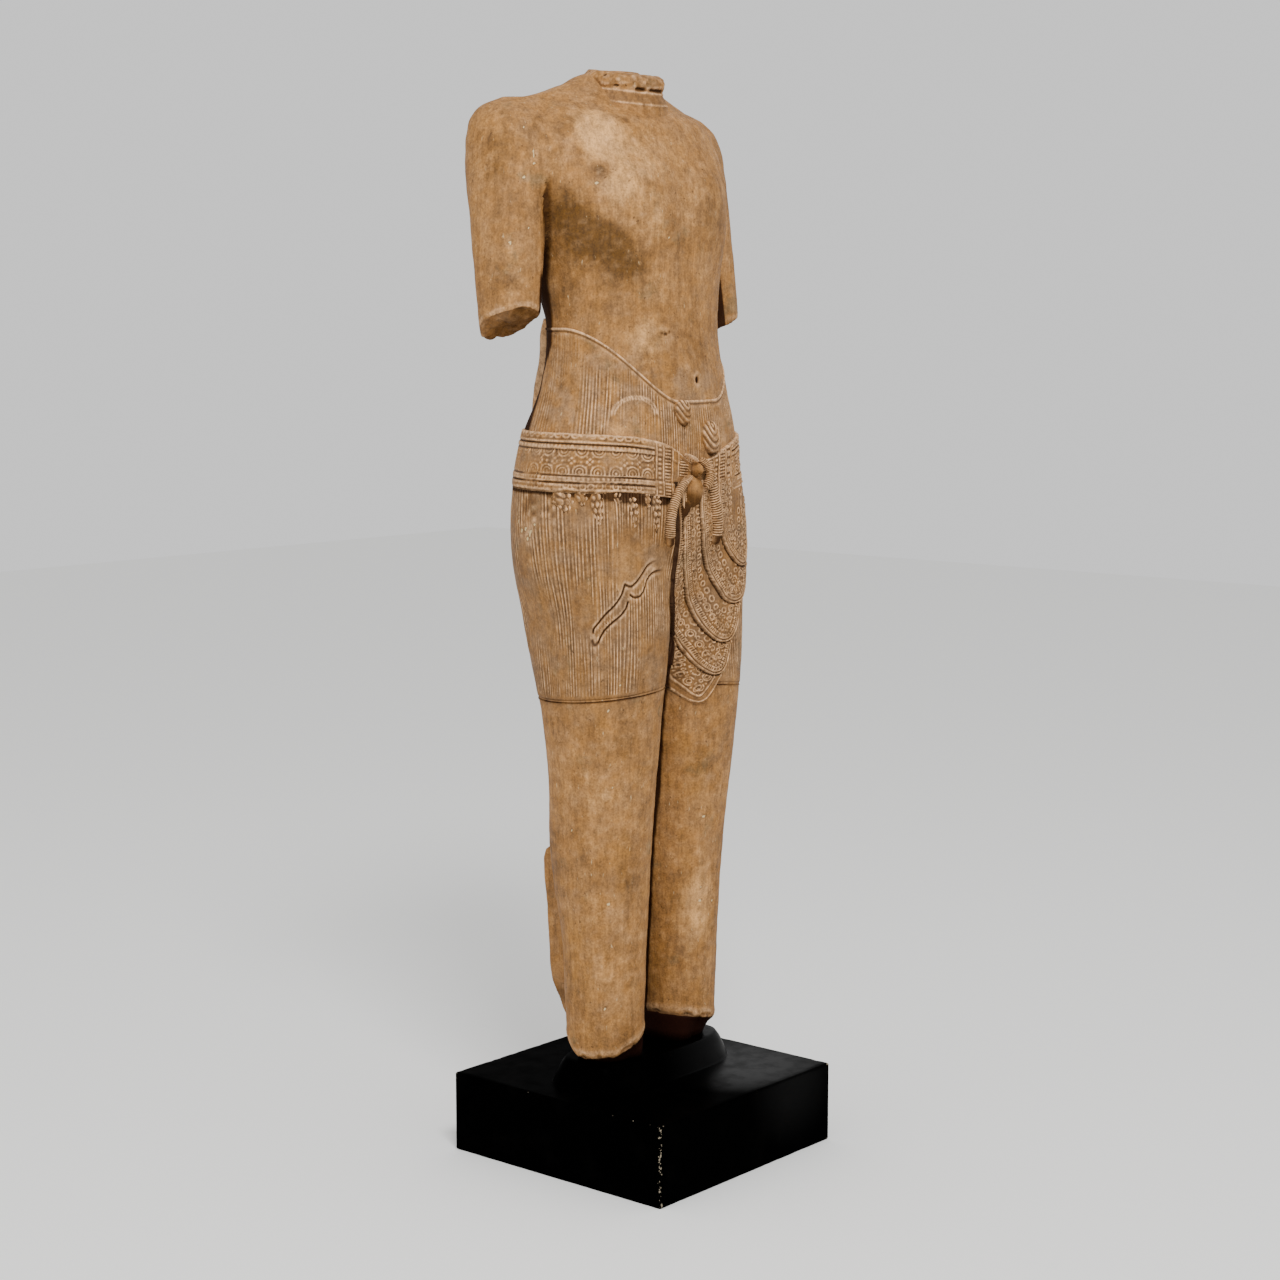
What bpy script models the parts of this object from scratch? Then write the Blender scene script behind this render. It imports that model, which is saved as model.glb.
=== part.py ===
"""A standing plaster deity torso on a black square plinth.

The figure has lost its head, forearms and feet. It wears a pleated hip cloth with a broad belt, a knotted
sash and a swag of folded cloth on its left thigh. Metres, +Z up, origin at the middle of the plinth's
underside. The figure faces -Y, so its own right side is at -X. Two solids: the cast figure, and the
plinth with the low mound that the leg stumps are set in. Fine pleats and ornament are left to the render.
"""

import math
from collections import namedtuple

import bmesh
import bpy
import numpy as np
from mathutils import Vector

# Driving dimensions in metres
PLINTH_SIDE = 0.305
PLINTH_HEIGHT = 0.091
PLINTH_EDGE = 0.0012
SEAT_HEIGHT = 0.120
GAP = 0.0003
# The mound's heights, and how far it spreads past the leg stumps at each
MOUND = [(PLINTH_HEIGHT - 0.010, 0.017), (PLINTH_HEIGHT, 0.016), (0.104, 0.011), (0.114, 0.0065)]
MOUND.append((SEAT_HEIGHT - GAP, 0.0025))
MOUND_SQUARE = 3.4

BELT_SIDE_TOP = 0.824
BELT_SIDE_BOTTOM = 0.7615
BELT_FRONT_DIP = 0.037
BELT_PROUD = 0.0032
WAIST_HEM_FRONT = 0.855
WAIST_HEM_RISE = 0.079
WAIST_HEM_TURN = 8.0
LEG_HEM_RIGHT = 0.5345
LEG_HEM_LEFT = 0.5275
HEM_ROLL = 0.0018
# From here up the trunk's rings are level
LEVEL = 0.965

ARM_BREAK_RIGHT = 0.943
ARM_BREAK_LEFT = 0.931
SLAB_HALF_WIDTH = 0.075
SLAB_FRONT = 0.045
SLAB_TOP = 0.354
FAN_HALF_WIDTH = 0.066
FAN_TOP = 0.944
FAN_INSIDE = 0.045
FLUTE_DEPTH = 0.0018
ROPE_HALF_WIDTH = 0.0052
# How far the relief plates reach into the body behind them
SUNK = 0.006
SWAG_SUNK = 0.013

TRUNK_COLUMNS = 36
LEG_COLUMNS = 22
ARM_COLUMNS = 18
NECK_COLUMNS = 20
FAN_COLUMNS = 15
TAIL_COLUMNS = 11
MOUND_COLUMNS = 32
SWAG_COLUMNS = 13
ROPE_RINGS = 13

# The neck stump's rolls as (height, radius), how far it leans forward and how its rolls tilt
NECK = [(1.150, 0.0500), (1.178, 0.0515), (1.183, 0.0525), (1.188, 0.0505), (1.190, 0.0465)]
NECK += [(1.198, 0.0430), (1.200, 0.0455), (1.206, 0.0445), (1.2135, 0.0385)]
NECK_CENTRE_Y = 0.032
NECK_CENTRE_HEIGHT = 1.178
NECK_LEAN = 0.15
NECK_TILT = 0.14

# Cross-sections from below upwards. front and back are the half depths before and behind the centre,
# and square is the superellipse power: 2 is an ellipse, more is boxier.
Section = namedtuple("Section", "height centre_x centre_y half_width front back square")

TRUNK = [
    Section(0.560, 0.0, 0.012, 0.092, 0.036, 0.070, 2.2),
    Section(0.620, 0.0, 0.014, 0.128, 0.062, 0.092, 2.2),
    Section(0.665, 0.0, 0.015, 0.146, 0.077, 0.104, 2.2),
    Section(0.710, 0.0, 0.016, 0.151, 0.089, 0.108, 2.2),
    Section(0.760, 0.0, 0.018, 0.149, 0.091, 0.103, 2.2),
    Section(0.820, 0.0, 0.018, 0.138, 0.090, 0.092, 2.2),
    Section(0.870, 0.0, 0.018, 0.124, 0.084, 0.068, 2.2),
    Section(0.930, 0.0, 0.020, 0.117, 0.077, 0.058, 2.2),
    Section(0.990, 0.0, 0.026, 0.123, 0.083, 0.070, 2.3),
    Section(1.050, 0.0, 0.033, 0.136, 0.091, 0.081, 2.35),
    Section(1.100, 0.0, 0.041, 0.143, 0.091, 0.080, 2.35),
    Section(1.135, 0.0, 0.048, 0.141, 0.084, 0.070, 2.3),
    Section(1.160, 0.0, 0.052, 0.130, 0.074, 0.056, 2.2),
    Section(1.174, 0.0, 0.057, 0.116, 0.058, 0.044, 2.1),
    Section(1.186, 0.0, 0.056, 0.093, 0.047, 0.038, 2.0),
    Section(1.198, 0.0, 0.052, 0.064, 0.036, 0.034, 2.0),
    Section(1.207, 0.0, 0.046, 0.046, 0.030, 0.032, 2.0),
    Section(1.212, 0.0, 0.040, 0.030, 0.022, 0.026, 2.0),
]
LEG = [
    Section(0.090, 0.0625, 0.0020, 0.0395, 0.042, 0.042, 2.2),
    Section(0.165, 0.0633, 0.0027, 0.0415, 0.044, 0.044, 2.2),
    Section(0.260, 0.0635, 0.0037, 0.0450, 0.048, 0.048, 2.2),
    Section(0.353, 0.0648, 0.0077, 0.0530, 0.056, 0.056, 2.2),
    Section(0.440, 0.0670, 0.0030, 0.0560, 0.060, 0.060, 2.2),
    Section(0.515, 0.0679, 0.0030, 0.0630, 0.0667, 0.0669, 2.2),
    Section(0.600, 0.0650, 0.0060, 0.0690, 0.075, 0.090, 2.2),
    Section(0.700, 0.0650, 0.0100, 0.0750, 0.075, 0.101, 2.2),
    Section(0.780, 0.0620, 0.0160, 0.0710, 0.076, 0.090, 2.2),
]
ARM = [
    Section(0.910, 0.1730, 0.0385, 0.0290, 0.0320, 0.0320, 2.1),
    Section(0.970, 0.1680, 0.0455, 0.0325, 0.0355, 0.0355, 2.1),
    Section(1.050, 0.1580, 0.0555, 0.0380, 0.0420, 0.0420, 2.1),
    Section(1.110, 0.1490, 0.0635, 0.0430, 0.0470, 0.0470, 2.1),
    Section(1.140, 0.1450, 0.0665, 0.0430, 0.0450, 0.0450, 2.1),
    Section(1.158, 0.1390, 0.0695, 0.0420, 0.0400, 0.0390, 2.1),
    Section(1.170, 0.1290, 0.0725, 0.0380, 0.0320, 0.0300, 2.1),
    Section(1.179, 0.1130, 0.0725, 0.0290, 0.0220, 0.0190, 2.1),
]


def smooth(sections, field, height):
    """A section's measure at any height: a cubic Hermite curve through the sections."""
    heights = np.array([section.height for section in sections])
    values = np.array([getattr(section, field) for section in sections])
    slopes = np.gradient(values, heights)
    i = int(np.clip(np.searchsorted(heights, height) - 1, 0, len(heights) - 2))
    span = heights[i + 1] - heights[i]
    t = min(max((height - heights[i]) / span, 0.0), 1.0)
    start = (2 * t**3 - 3 * t**2 + 1) * values[i] + (t**3 - 2 * t**2 + t) * span * slopes[i]
    end = (3 * t**2 - 2 * t**3) * values[i + 1] + (t**3 - t**2) * span * slopes[i + 1]
    return float(start + end)


def section_at(sections, height):
    """All of a section's measures at a height."""
    fields = [smooth(sections, field, height) for field in Section._fields[1:]]
    return Section(height, *fields)


def reach(section, angle):
    """How far a section's outline is from its centre, along an angle from the front towards +X."""
    depth = section.front if math.cos(angle) > 0 else section.back
    across = abs(math.sin(angle)) / section.half_width
    along = abs(math.cos(angle)) / depth
    return (across**section.square + along**section.square) ** (-1 / section.square)


def front_of(section, x):
    """The outline's front y at an x, or nothing where the section doesn't reach that far."""
    across = abs(x - section.centre_x) / section.half_width
    if across >= 1:
        return None
    return section.centre_y - section.front * (1 - across**section.square) ** (1 / section.square)


def mirrored(section, side):
    """A limb's section on the figure's left (+1) or right (-1)."""
    return section._replace(centre_x=side * section.centre_x)


def front_y(x, height):
    """The body's front surface: the foremost of trunk and thighs."""
    sections = [section_at(TRUNK, height)] if height > TRUNK[0].height else []
    if height < LEG[-1].height:
        sections += [mirrored(section_at(LEG, height), side) for side in (-1, 1)]
    fronts = [front_of(section, x) for section in sections]
    return min(y for y in fronts if y is not None)


def bump(value, centre, width):
    """A soft rise of 1 at a centre, falling off over a width."""
    return math.exp(-(((value - centre) / width) ** 2))


def ease(value):
    """0 below 0, 1 above 1, and a smooth step between."""
    t = min(max(value, 0.0), 1.0)
    return t * t * (3 - 2 * t)


def between(low, high, share):
    return low + share * (high - low)


def around(count):
    """Evenly spaced angles, from straight behind round to straight behind."""
    return [math.tau * i / count - math.pi for i in range(count)]


def solid(name, points, faces):
    """A closed mesh object with triangles only and its faces pointing out."""
    mesh = bpy.data.meshes.new(name)
    mesh.from_pydata([tuple(point) for point in points], [], faces)
    work = bmesh.new()
    work.from_mesh(mesh)
    bmesh.ops.remove_doubles(work, verts=work.verts, dist=0.00001)
    bmesh.ops.triangulate(work, faces=work.faces)
    bmesh.ops.recalc_face_normals(work, faces=work.faces)
    work.to_mesh(mesh)
    work.free()
    thing = bpy.data.objects.new(name, mesh)
    bpy.context.scene.collection.objects.link(thing)
    return thing


def loft(name, rings):
    """A closed skin over rings of equal count, with a flat cap at each end."""
    count = len(rings[0])
    points = [point for ring in rings for point in ring]
    faces = []
    for low in range(0, len(points) - count, count):
        for i in range(count):
            after = (i + 1) % count
            faces.append((low + i, low + after, low + count + after, low + count + i))
    faces.append(tuple(reversed(range(count))))
    faces.append(tuple(range(len(points) - count, len(points))))
    return solid(name, points, faces)


def plate(name, outer, inner):
    """A closed slab between two equal grids of points."""
    rows, columns = len(outer), len(outer[0])
    points = [point for grid in (outer, inner) for row in grid for point in row]
    back = rows * columns

    def index(row, column):
        return row * columns + column

    faces = []
    for row in range(rows - 1):
        for column in range(columns - 1):
            quad = [index(row, column), index(row, column + 1)]
            quad += [index(row + 1, column + 1), index(row + 1, column)]
            faces.append(tuple(quad))
            faces.append(tuple(back + corner for corner in reversed(quad)))
    rim = [index(0, column) for column in range(columns)]
    rim += [index(row, columns - 1) for row in range(1, rows)]
    rim += [index(rows - 1, column) for column in reversed(range(columns - 1))]
    rim += [index(row, 0) for row in reversed(range(1, rows - 1))]
    for here, there in zip(rim, rim[1:] + rim[:1]):
        faces.append((there, here, back + here, back + there))
    return solid(name, points, faces)


def front_plate(name, grid, lifts, depth=SUNK):
    """Low relief on the front: a grid of (x, z) places, each lifted off the body, and sunk behind it."""
    outer = []
    for row, heights in zip(grid, lifts):
        outer.append([(x, front_y(x, z) - lift, z) for (x, z), lift in zip(row, heights)])
    inner = [[(x, front_y(x, z) + depth, z) for x, z in row] for row in grid]
    return plate(name, outer, inner)


def belt_dip(angle):
    """How far the belt sinks towards the knot, from 0 behind to 1 in front."""
    width = 23.0 if angle < 0 else 48.0
    return (1 + math.cos(angle)) / 2 / (1 + (math.degrees(angle) / width) ** 2)


def belt_top(angle):
    return BELT_SIDE_TOP - BELT_FRONT_DIP * belt_dip(angle)


def belt_bottom(angle):
    width = 40.0 if angle < 0 else 80.0
    dip = (1 + math.cos(angle)) / 2 / (1 + (math.degrees(angle) / width) ** 2)
    return BELT_SIDE_BOTTOM - 0.0145 * dip


def waist_hem(angle):
    """The hip cloth's upper edge: low in front, high at the sides and behind."""
    turned = abs(math.degrees(angle) - WAIST_HEM_TURN)
    return WAIST_HEM_FRONT + WAIST_HEM_RISE * ease((turned - 20.0) / 75.0)


def leg_hem(angle, side):
    """The hip cloth's lower edge on a thigh."""
    if side < 0:
        return LEG_HEM_RIGHT + 0.0065 * math.cos(angle - math.radians(50))
    return LEG_HEM_LEFT + 0.0100 * math.cos(angle + math.radians(50))


def body_relief(x, y, height):
    """Soft muscle on the bare trunk: chest, belly, spine and shoulder blades."""
    if y < 0.02:
        chest = 0.006 * bump(abs(x), 0.058, 0.040) * bump(height, 1.075, 0.036)
        belly = 0.003 * bump(x, 0.0, 0.05) * bump(height, 0.905, 0.04)
        midline = -0.002 * bump(x, 0.0, 0.010) * bump(height, 1.045, 0.06)
        return chest + belly + midline
    spine = -0.005 * bump(x, 0.0, 0.014) * bump(height, 1.04, 0.07)
    blade = 0.004 * bump(abs(x), 0.065, 0.035) * bump(height, 1.095, 0.04)
    return spine + blade


def trunk_point(angle, height, proud):
    """A point on the trunk's skin, with the muscle of the bare body on it."""
    section = section_at(TRUNK, height)
    length = reach(section, angle) + proud
    x = length * math.sin(angle)
    y = section.centre_y - length * math.cos(angle)
    extra = body_relief(x, y, height)
    return Vector((x + extra * math.sin(angle), y - extra * math.cos(angle), height))


def make_trunk():
    """Trunk and hips: rings that follow the belt's and the waist hem's own curves."""
    angles = around(TRUNK_COLUMNS)
    rows = [(lambda a, z=z: z, 0.0) for z in (0.560, 0.600, 0.640, 0.680, 0.715)]
    # The belt's rows: a share of its height, and a share of how proud it is
    belt = [(-0.015, 0.0), (0.0, 0.9), (0.13, 1.15), (0.27, 1.05), (0.30, 0.75)]
    belt += [(0.72, 0.75), (0.75, 1.0), (0.99, 0.95), (1.01, 0.0)]
    for share, proud in belt:
        rows.append((lambda a, s=share: between(belt_bottom(a), belt_top(a), s), proud * BELT_PROUD))
    for share in (0.2, 0.55):
        rows.append((lambda a, s=share: between(belt_top(a), waist_hem(a), s), 0.0))
    for below, proud in ((-0.006, 0.0), (-0.0025, HEM_ROLL), (0.0, HEM_ROLL), (0.0015, -0.001)):
        rows.append((lambda a, b=below: waist_hem(a) + b, proud))
    for share in (0.3, 0.65):
        rows.append((lambda a, s=share: between(waist_hem(a), LEVEL, s), 0.0))
    heights = [LEVEL, 0.99, 1.015, 1.04, 1.06, 1.08, 1.10, 1.118, 1.135, 1.149, 1.16, 1.169, 1.177, 1.186]
    rows += [(lambda a, z=z: z, 0.0) for z in heights + [1.193, 1.200, 1.207, 1.212]]
    rings = [[trunk_point(angle, place(angle), proud) for angle in angles] for place, proud in rows]
    return loft("trunk", rings)


def limb_point(sections, angle, height, side, proud=0.0, share=1.0):
    """A point on a leg or an arm: proud lifts it off the skin, and share draws it in towards the centre."""
    section = mirrored(section_at(sections, height), side)
    length = reach(section, angle) * share + proud
    x = section.centre_x + length * math.sin(angle)
    y = section.centre_y - length * math.cos(angle)
    return Vector((x, y, height))


def leg_break(angle, side):
    """The uneven height at which the lower leg is broken off."""
    if side < 0:
        chip = 0.012 * bump(math.degrees(angle), -135.0, 20.0)
        return 0.140 - 0.0155 * math.cos(angle + math.radians(85)) + chip
    return 0.1425 + 0.010 * math.cos(angle + math.radians(80))


def make_leg(side):
    """A leg from its seat on the mound to inside the hips, with the cloth's rolled lower edge."""
    angles = around(LEG_COLUMNS)

    def ring(place, proud=0.0, share=1.0):
        return [limb_point(LEG, angle, place(angle), side, proud, share) for angle in angles]

    rings = [ring(lambda a: SEAT_HEIGHT, share=0.7), ring(lambda a: leg_break(a, side))]
    for height in (0.175, 0.215, 0.260, 0.310, 0.353, 0.400, 0.440, 0.480, 0.510):
        rings.append(ring(lambda a: height))
    for above, proud in ((-0.001, 0.0), (0.0, 1.0), (0.004, 1.0), (0.016, 0.4)):
        rings.append(ring(lambda a: leg_hem(a, side) + above, proud * HEM_ROLL))
    for height in (0.575, 0.605, 0.640, 0.680, 0.730, 0.780):
        rings.append(ring(lambda a: height))
    return loft("leg", rings)


def arm_break(place, side):
    """The tilted plane that an upper arm is broken along: high at its outer front."""
    middle = ARM_BREAK_RIGHT if side < 0 else ARM_BREAK_LEFT
    return middle + 0.40 * (side * place.x - 0.172) - 0.33 * (place.y - 0.038)


def make_arm(side):
    """An upper arm from its break up into the shoulder."""
    low = []
    for angle in around(ARM_COLUMNS):
        height = ARM_BREAK_RIGHT
        for _ in range(8):
            place = limb_point(ARM, angle, height, side)
            height = arm_break(place, side)
        low.append(place)
    rings = [low]
    for height in (0.975, 1.005, 1.035, 1.065, 1.092, 1.115, 1.134, 1.149, 1.160, 1.169, 1.175, 1.179):
        rings.append([limb_point(ARM, angle, height, side) for angle in around(ARM_COLUMNS)])
    return loft("arm", rings)


def make_neck():
    """The neck stump: two rolls with a hollow band between, leaning forward, and a broken top."""
    rings = []
    for height, radius in NECK:
        centre_y = NECK_CENTRE_Y - NECK_LEAN * (height - NECK_CENTRE_HEIGHT)
        ring = []
        for i, angle in enumerate(around(NECK_COLUMNS)):
            y = centre_y - radius * 0.95 * math.cos(angle)
            rise = NECK_TILT * (y - centre_y)
            chip = 0.0018 * math.sin(i * 2.4) if height == NECK[-1][0] else 0.0
            ring.append(Vector((radius * math.sin(angle), y, height + rise + chip)))
        rings.append(ring)
    return loft("neck", rings)


def make_slab():
    """The support behind the calves: a flat-sided slab with a rounded top and its lower back corner broken."""
    profile = [(SLAB_FRONT, 0.152), (0.062, 0.176), (0.076, 0.196), (0.079, 0.216), (0.083, 0.281)]
    profile += [(0.088, 0.315), (0.0885, 0.336), (0.085, 0.347), (0.076, SLAB_TOP), (SLAB_FRONT, SLAB_TOP)]
    widths = (-SLAB_HALF_WIDTH, SLAB_HALF_WIDTH)
    return loft("slab", [[Vector((x, y, z)) for y, z in profile] for x in widths])


def make_fan():
    """The sash's end spread over the small of the back: a fluted panel that widens upwards."""
    # Each row's height, half width and how far back it stands
    rows = [(0.800, 0.042, 0.118), (0.830, 0.052, 0.1200), (0.865, 0.060, 0.1105)]
    rows += [(0.900, 0.064, 0.0985), (0.930, FAN_HALF_WIDTH, 0.0945), (FAN_TOP, 0.063, 0.0925)]
    columns = FAN_COLUMNS
    outer = []
    inner = []
    for height, half, depth in rows:
        spread = [2 * i / (columns - 1) - 1 for i in range(columns)]
        flute = [FLUTE_DEPTH * (1 if i % 2 else -1) for i in range(columns)]
        outer.append([(half * s, depth + 0.008 * (1 - s * s) + f, height) for s, f in zip(spread, flute)])
        inner.append([(0.8 * half * s, FAN_INSIDE, height) for s in spread])
    return plate("fan", outer, inner)


def make_tail():
    """The sash's end that hangs below the belt behind: a short fluted tail that flares downwards."""
    # Each row's height and half width
    rows = [(0.640, 0.034), (0.660, 0.034), (0.700, 0.028), (0.740, 0.022), (0.765, 0.020)]
    columns = TAIL_COLUMNS
    outer = []
    inner = []
    for height, half in rows:
        back = section_at(TRUNK, height)
        depth = back.centre_y + back.back
        spread = [2 * i / (columns - 1) - 1 for i in range(columns)]
        flute = [0.006 + FLUTE_DEPTH * (0.7 if i % 2 else -0.7) for i in range(columns)]
        outer.append([(half * s, depth - 0.010 * s * s + f, height) for s, f in zip(spread, flute)])
        inner.append([(half * s, depth - 0.030, height) for s in spread])
    return plate("tail", outer, inner)


def curve_through(points, count):
    """Evenly shared places along a smooth curve through a few (x, z) points."""
    data = np.array(points)
    steps = np.concatenate([[0], np.cumsum(np.linalg.norm(np.diff(data, axis=0), axis=1))])
    slopes = np.gradient(data, steps, axis=0)
    places = []
    for s in np.linspace(0, steps[-1], count):
        i = int(np.clip(np.searchsorted(steps, s) - 1, 0, len(steps) - 2))
        span = steps[i + 1] - steps[i]
        t = (s - steps[i]) / span
        place = (2 * t**3 - 3 * t**2 + 1) * data[i] + (t**3 - 2 * t**2 + t) * span * slopes[i]
        place = place + (3 * t**2 - 2 * t**3) * data[i + 1] + (t**3 - t**2) * span * slopes[i + 1]
        places.append(tuple(float(v) for v in place))
    return places


# Edges of the folded cloth on the left thigh, lowest first: from the belt, down to the tip, and up.
SWAG_TOP = 0.742
SWAGS = [
    [(0.006, 0.600), (0.0075, 0.549), (0.012, 0.532), (0.030, 0.518), (0.044, 0.528), (0.054, 0.550)],
    [(-0.032, SWAG_TOP), (-0.030, 0.640), (-0.024, 0.595), (0.016, 0.565), (0.047, 0.549), (0.064, 0.585)],
    [(-0.025, SWAG_TOP), (-0.019, 0.665), (-0.008, 0.628), (0.025, 0.602), (0.056, 0.586), (0.077, 0.620)],
    [(0.006, SWAG_TOP), (0.008, 0.695), (0.020, 0.664), (0.040, 0.645), (0.070, 0.629), (0.090, 0.660)],
    [(0.038, SWAG_TOP), (0.040, 0.705), (0.054, 0.688), (0.070, 0.676), (0.088, 0.668), (0.106, 0.700)],
]
SWAG_HEART = (-0.010, 0.046)


def make_swags():
    """Each fold is a band that is proud at its edge and sinks towards its heart, under the next fold."""
    count = SWAG_COLUMNS
    pieces = []
    for k, points in enumerate(SWAGS):
        edge = curve_through(points, count)
        tip_x, tip_z = min(points, key=lambda point: point[1])
        heart_x, heart_z = tip_x + SWAG_HEART[0], tip_z + SWAG_HEART[1]
        rows = []
        lifts = []
        # A share of the way from the heart, and the lift there
        for share, lift in ((1.0, 0.0034), (0.94, 0.0040), (0.62, 0.0002)):
            rows.append([(heart_x + share * (x - heart_x), heart_z + share * (z - heart_z)) for x, z in edge])
            lifts.append([lift + 0.0005 * k] * count)
        pieces.append(front_plate("swag", rows, lifts, SWAG_SUNK))
    return pieces


def tube(name, path, half_width, thickness, lift, sides=7, ribs=0.10):
    """A rope lying on the front, from (x, z) places: each second ring is a little fuller, as a twist shows."""
    places = [Vector((x, front_y(x, z) - rise, z)) for (x, z), rise in zip(path, lift)]
    rings = []
    for i, place in enumerate(places):
        ahead = places[min(i + 1, len(places) - 1)] - places[max(i - 1, 0)]
        along = ahead.normalized()
        out = Vector((0, -1, 0))
        out = (out - out.dot(along) * along).normalized()
        side = along.cross(out)
        swell = 1 + ribs * (1 if i % 2 else -1)
        if i in (0, len(places) - 1):
            swell = 0.55
        ring = []
        for j in range(sides):
            turn = math.tau * j / sides
            ring.append(place + swell * (half_width * math.cos(turn) * side + thickness * math.sin(turn) * out))
        rings.append(ring)
    return loft(name, rings)


def make_ropes():
    """The two ends of the sash cord, below the knot."""
    right = [(-0.010, 0.779), (-0.022, 0.768), (-0.033, 0.750), (-0.042, 0.725), (-0.047, 0.697)]
    left = [(0.012, 0.782), (0.019, 0.758), (0.024, 0.735), (0.027, 0.716), (0.030, 0.700)]
    lift_right = [0.006 + 0.003 * ease(2 * i / ROPE_RINGS) for i in range(ROPE_RINGS)]
    lift_left = [0.005 + 0.001 * ease(2 * i / ROPE_RINGS) for i in range(ROPE_RINGS)]
    return [
        tube("rope", curve_through(right, ROPE_RINGS), ROPE_HALF_WIDTH, 0.0065, lift_right),
        tube("rope", curve_through(left, ROPE_RINGS), ROPE_HALF_WIDTH * 1.15, 0.006, lift_left),
    ]


def lobe(name, x, z, half_width, half_height, proud, lean=0.0, taper=0.0):
    """A rounded lump on the front, half sunk in it. taper narrows its foot, lean turns it about the view."""
    work = bmesh.new()
    bmesh.ops.create_uvsphere(work, u_segments=8, v_segments=5, radius=1.0)
    base = front_y(x, z)
    for vertex in work.verts:
        shrink = 1 - taper * (0.5 - vertex.co.z / 2)
        across = vertex.co.x * half_width * shrink
        up = vertex.co.z * half_height
        turned_x = across * math.cos(lean) + up * math.sin(lean)
        turned_z = up * math.cos(lean) - across * math.sin(lean)
        vertex.co = Vector((x + turned_x, base + vertex.co.y * proud, z + turned_z))
    mesh = bpy.data.meshes.new(name)
    work.to_mesh(mesh)
    work.free()
    thing = bpy.data.objects.new(name, mesh)
    bpy.context.scene.collection.objects.link(thing)
    return thing


def make_knot():
    """The sash's knot, the loop that sags below it and the two small folds above the belt."""
    return [
        lobe("knot", -0.004, 0.781, 0.011, 0.009, 0.014),
        lobe("loop", 0.003, 0.762, 0.013, 0.020, 0.017, lean=0.25, taper=0.35),
        lobe("loop tip", -0.006, 0.740, 0.010, 0.018, 0.010, lean=0.35, taper=0.6),
        lobe("fold", -0.015, 0.842, 0.011, 0.015, 0.006, lean=-0.2, taper=0.3),
        lobe("fold", 0.026, 0.812, 0.014, 0.017, 0.007, lean=-0.45, taper=0.3),
    ]


def make_pendants():
    """Leaf-shaped drops that hang from the belt's lower edge."""
    pieces = []
    # Each drop's bearing from the front, and its length
    for degrees, length in ((-66, 0.032), (-50, 0.020), (-36, 0.034), (8, 0.030), (40, 0.026), (58, 0.030)):
        angle = math.radians(degrees)
        section = section_at(TRUNK, belt_bottom(angle) - length / 2)
        x = reach(section, angle) * math.sin(angle)
        z = belt_bottom(angle) - length / 2
        pieces.append(lobe("pendant", x, z, 0.0085, length / 2 + 0.003, 0.0045, taper=0.75))
    return pieces


def make_ribbon():
    """The loose ribbon end on the right thigh: a low wavy strip."""
    line = curve_through(
        [(-0.1245, 0.605), (-0.1170, 0.622), (-0.1060, 0.640), (-0.0985, 0.651), (-0.0880, 0.6585),
         (-0.0750, 0.671), (-0.0630, 0.678)], 13
    )
    half = 0.0055
    rows = [[], []]
    for i, (x, z) in enumerate(line):
        ahead, behind = line[min(i + 1, 12)], line[max(i - 1, 0)]
        slope = math.atan2(ahead[1] - behind[1], ahead[0] - behind[0])
        rows[0].append((x + half * math.sin(slope), z - half * math.cos(slope)))
        rows[1].append((x - half * math.sin(slope), z + half * math.cos(slope)))
    return front_plate("ribbon", rows, [[0.0016] * 13] * 2)


def make_arc():
    """The raised arc of a cloth fold above the belt on the right hip."""
    count = 11
    rows = [[], []]
    for i in range(count):
        turn = math.pi * i / (count - 1)
        for row, size in zip(rows, (1.0, 0.9)):
            row.append((-0.0765 - 0.024 * size * math.cos(turn), 0.8425 + 0.018 * size * math.sin(turn)))
    return front_plate("arc", rows, [[0.0014] * count] * 2)


def make_plinth():
    """A square block with softened edges, and on it the low flared mound that holds both leg stumps."""
    half = PLINTH_SIDE / 2
    levels = [(0.0, half - PLINTH_EDGE), (PLINTH_EDGE, half), (PLINTH_HEIGHT - PLINTH_EDGE, half)]
    levels.append((PLINTH_HEIGHT, half - PLINTH_EDGE))
    rings = []
    for height, reach_out in levels:
        corners = [(-1, -1), (1, -1), (1, 1), (-1, 1)]
        rings.append([Vector((reach_out * x, reach_out * y, height)) for x, y in corners])
    block = loft("plinth", rings)
    ends = section_at(LEG, SEAT_HEIGHT)
    mound = []
    for height, flare in MOUND:
        outline = ends._replace(centre_x=0.0, half_width=ends.centre_x + ends.half_width + flare)
        outline = outline._replace(front=ends.front + flare, back=ends.back + flare, square=MOUND_SQUARE)
        ring = []
        for angle in around(MOUND_COLUMNS):
            length = reach(outline, angle)
            y = outline.centre_y - length * math.cos(angle)
            ring.append(Vector((length * math.sin(angle), y, height)))
        mound.append(ring)
    fuse(block, [loft("mound", mound)])
    return block


def fuse(base, pieces):
    """Joins pieces to a base, one Boolean union each, and keeps them as hidden guides."""
    for piece in pieces:
        union = base.modifiers.new("join " + piece.name, "BOOLEAN")
        union.operation = "UNION"
        union.solver = "EXACT"
        union.object = piece
        piece.hide_render = True
        piece.display_type = "WIRE"


def material(name, colour, roughness):
    made = bpy.data.materials.new(name)
    made.use_nodes = True
    shader = made.node_tree.nodes["Principled BSDF"]
    shader.inputs["Base Color"].default_value = (*colour, 1.0)
    shader.inputs["Roughness"].default_value = roughness
    shader.inputs["Metallic"].default_value = 0.0
    return made


def finish(thing, name, made):
    thing.name = name
    thing.data.name = name
    thing.data.materials.append(made)
    thing.data.shade_smooth()
    thing.data.set_sharp_from_angle(angle=math.radians(35))


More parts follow.
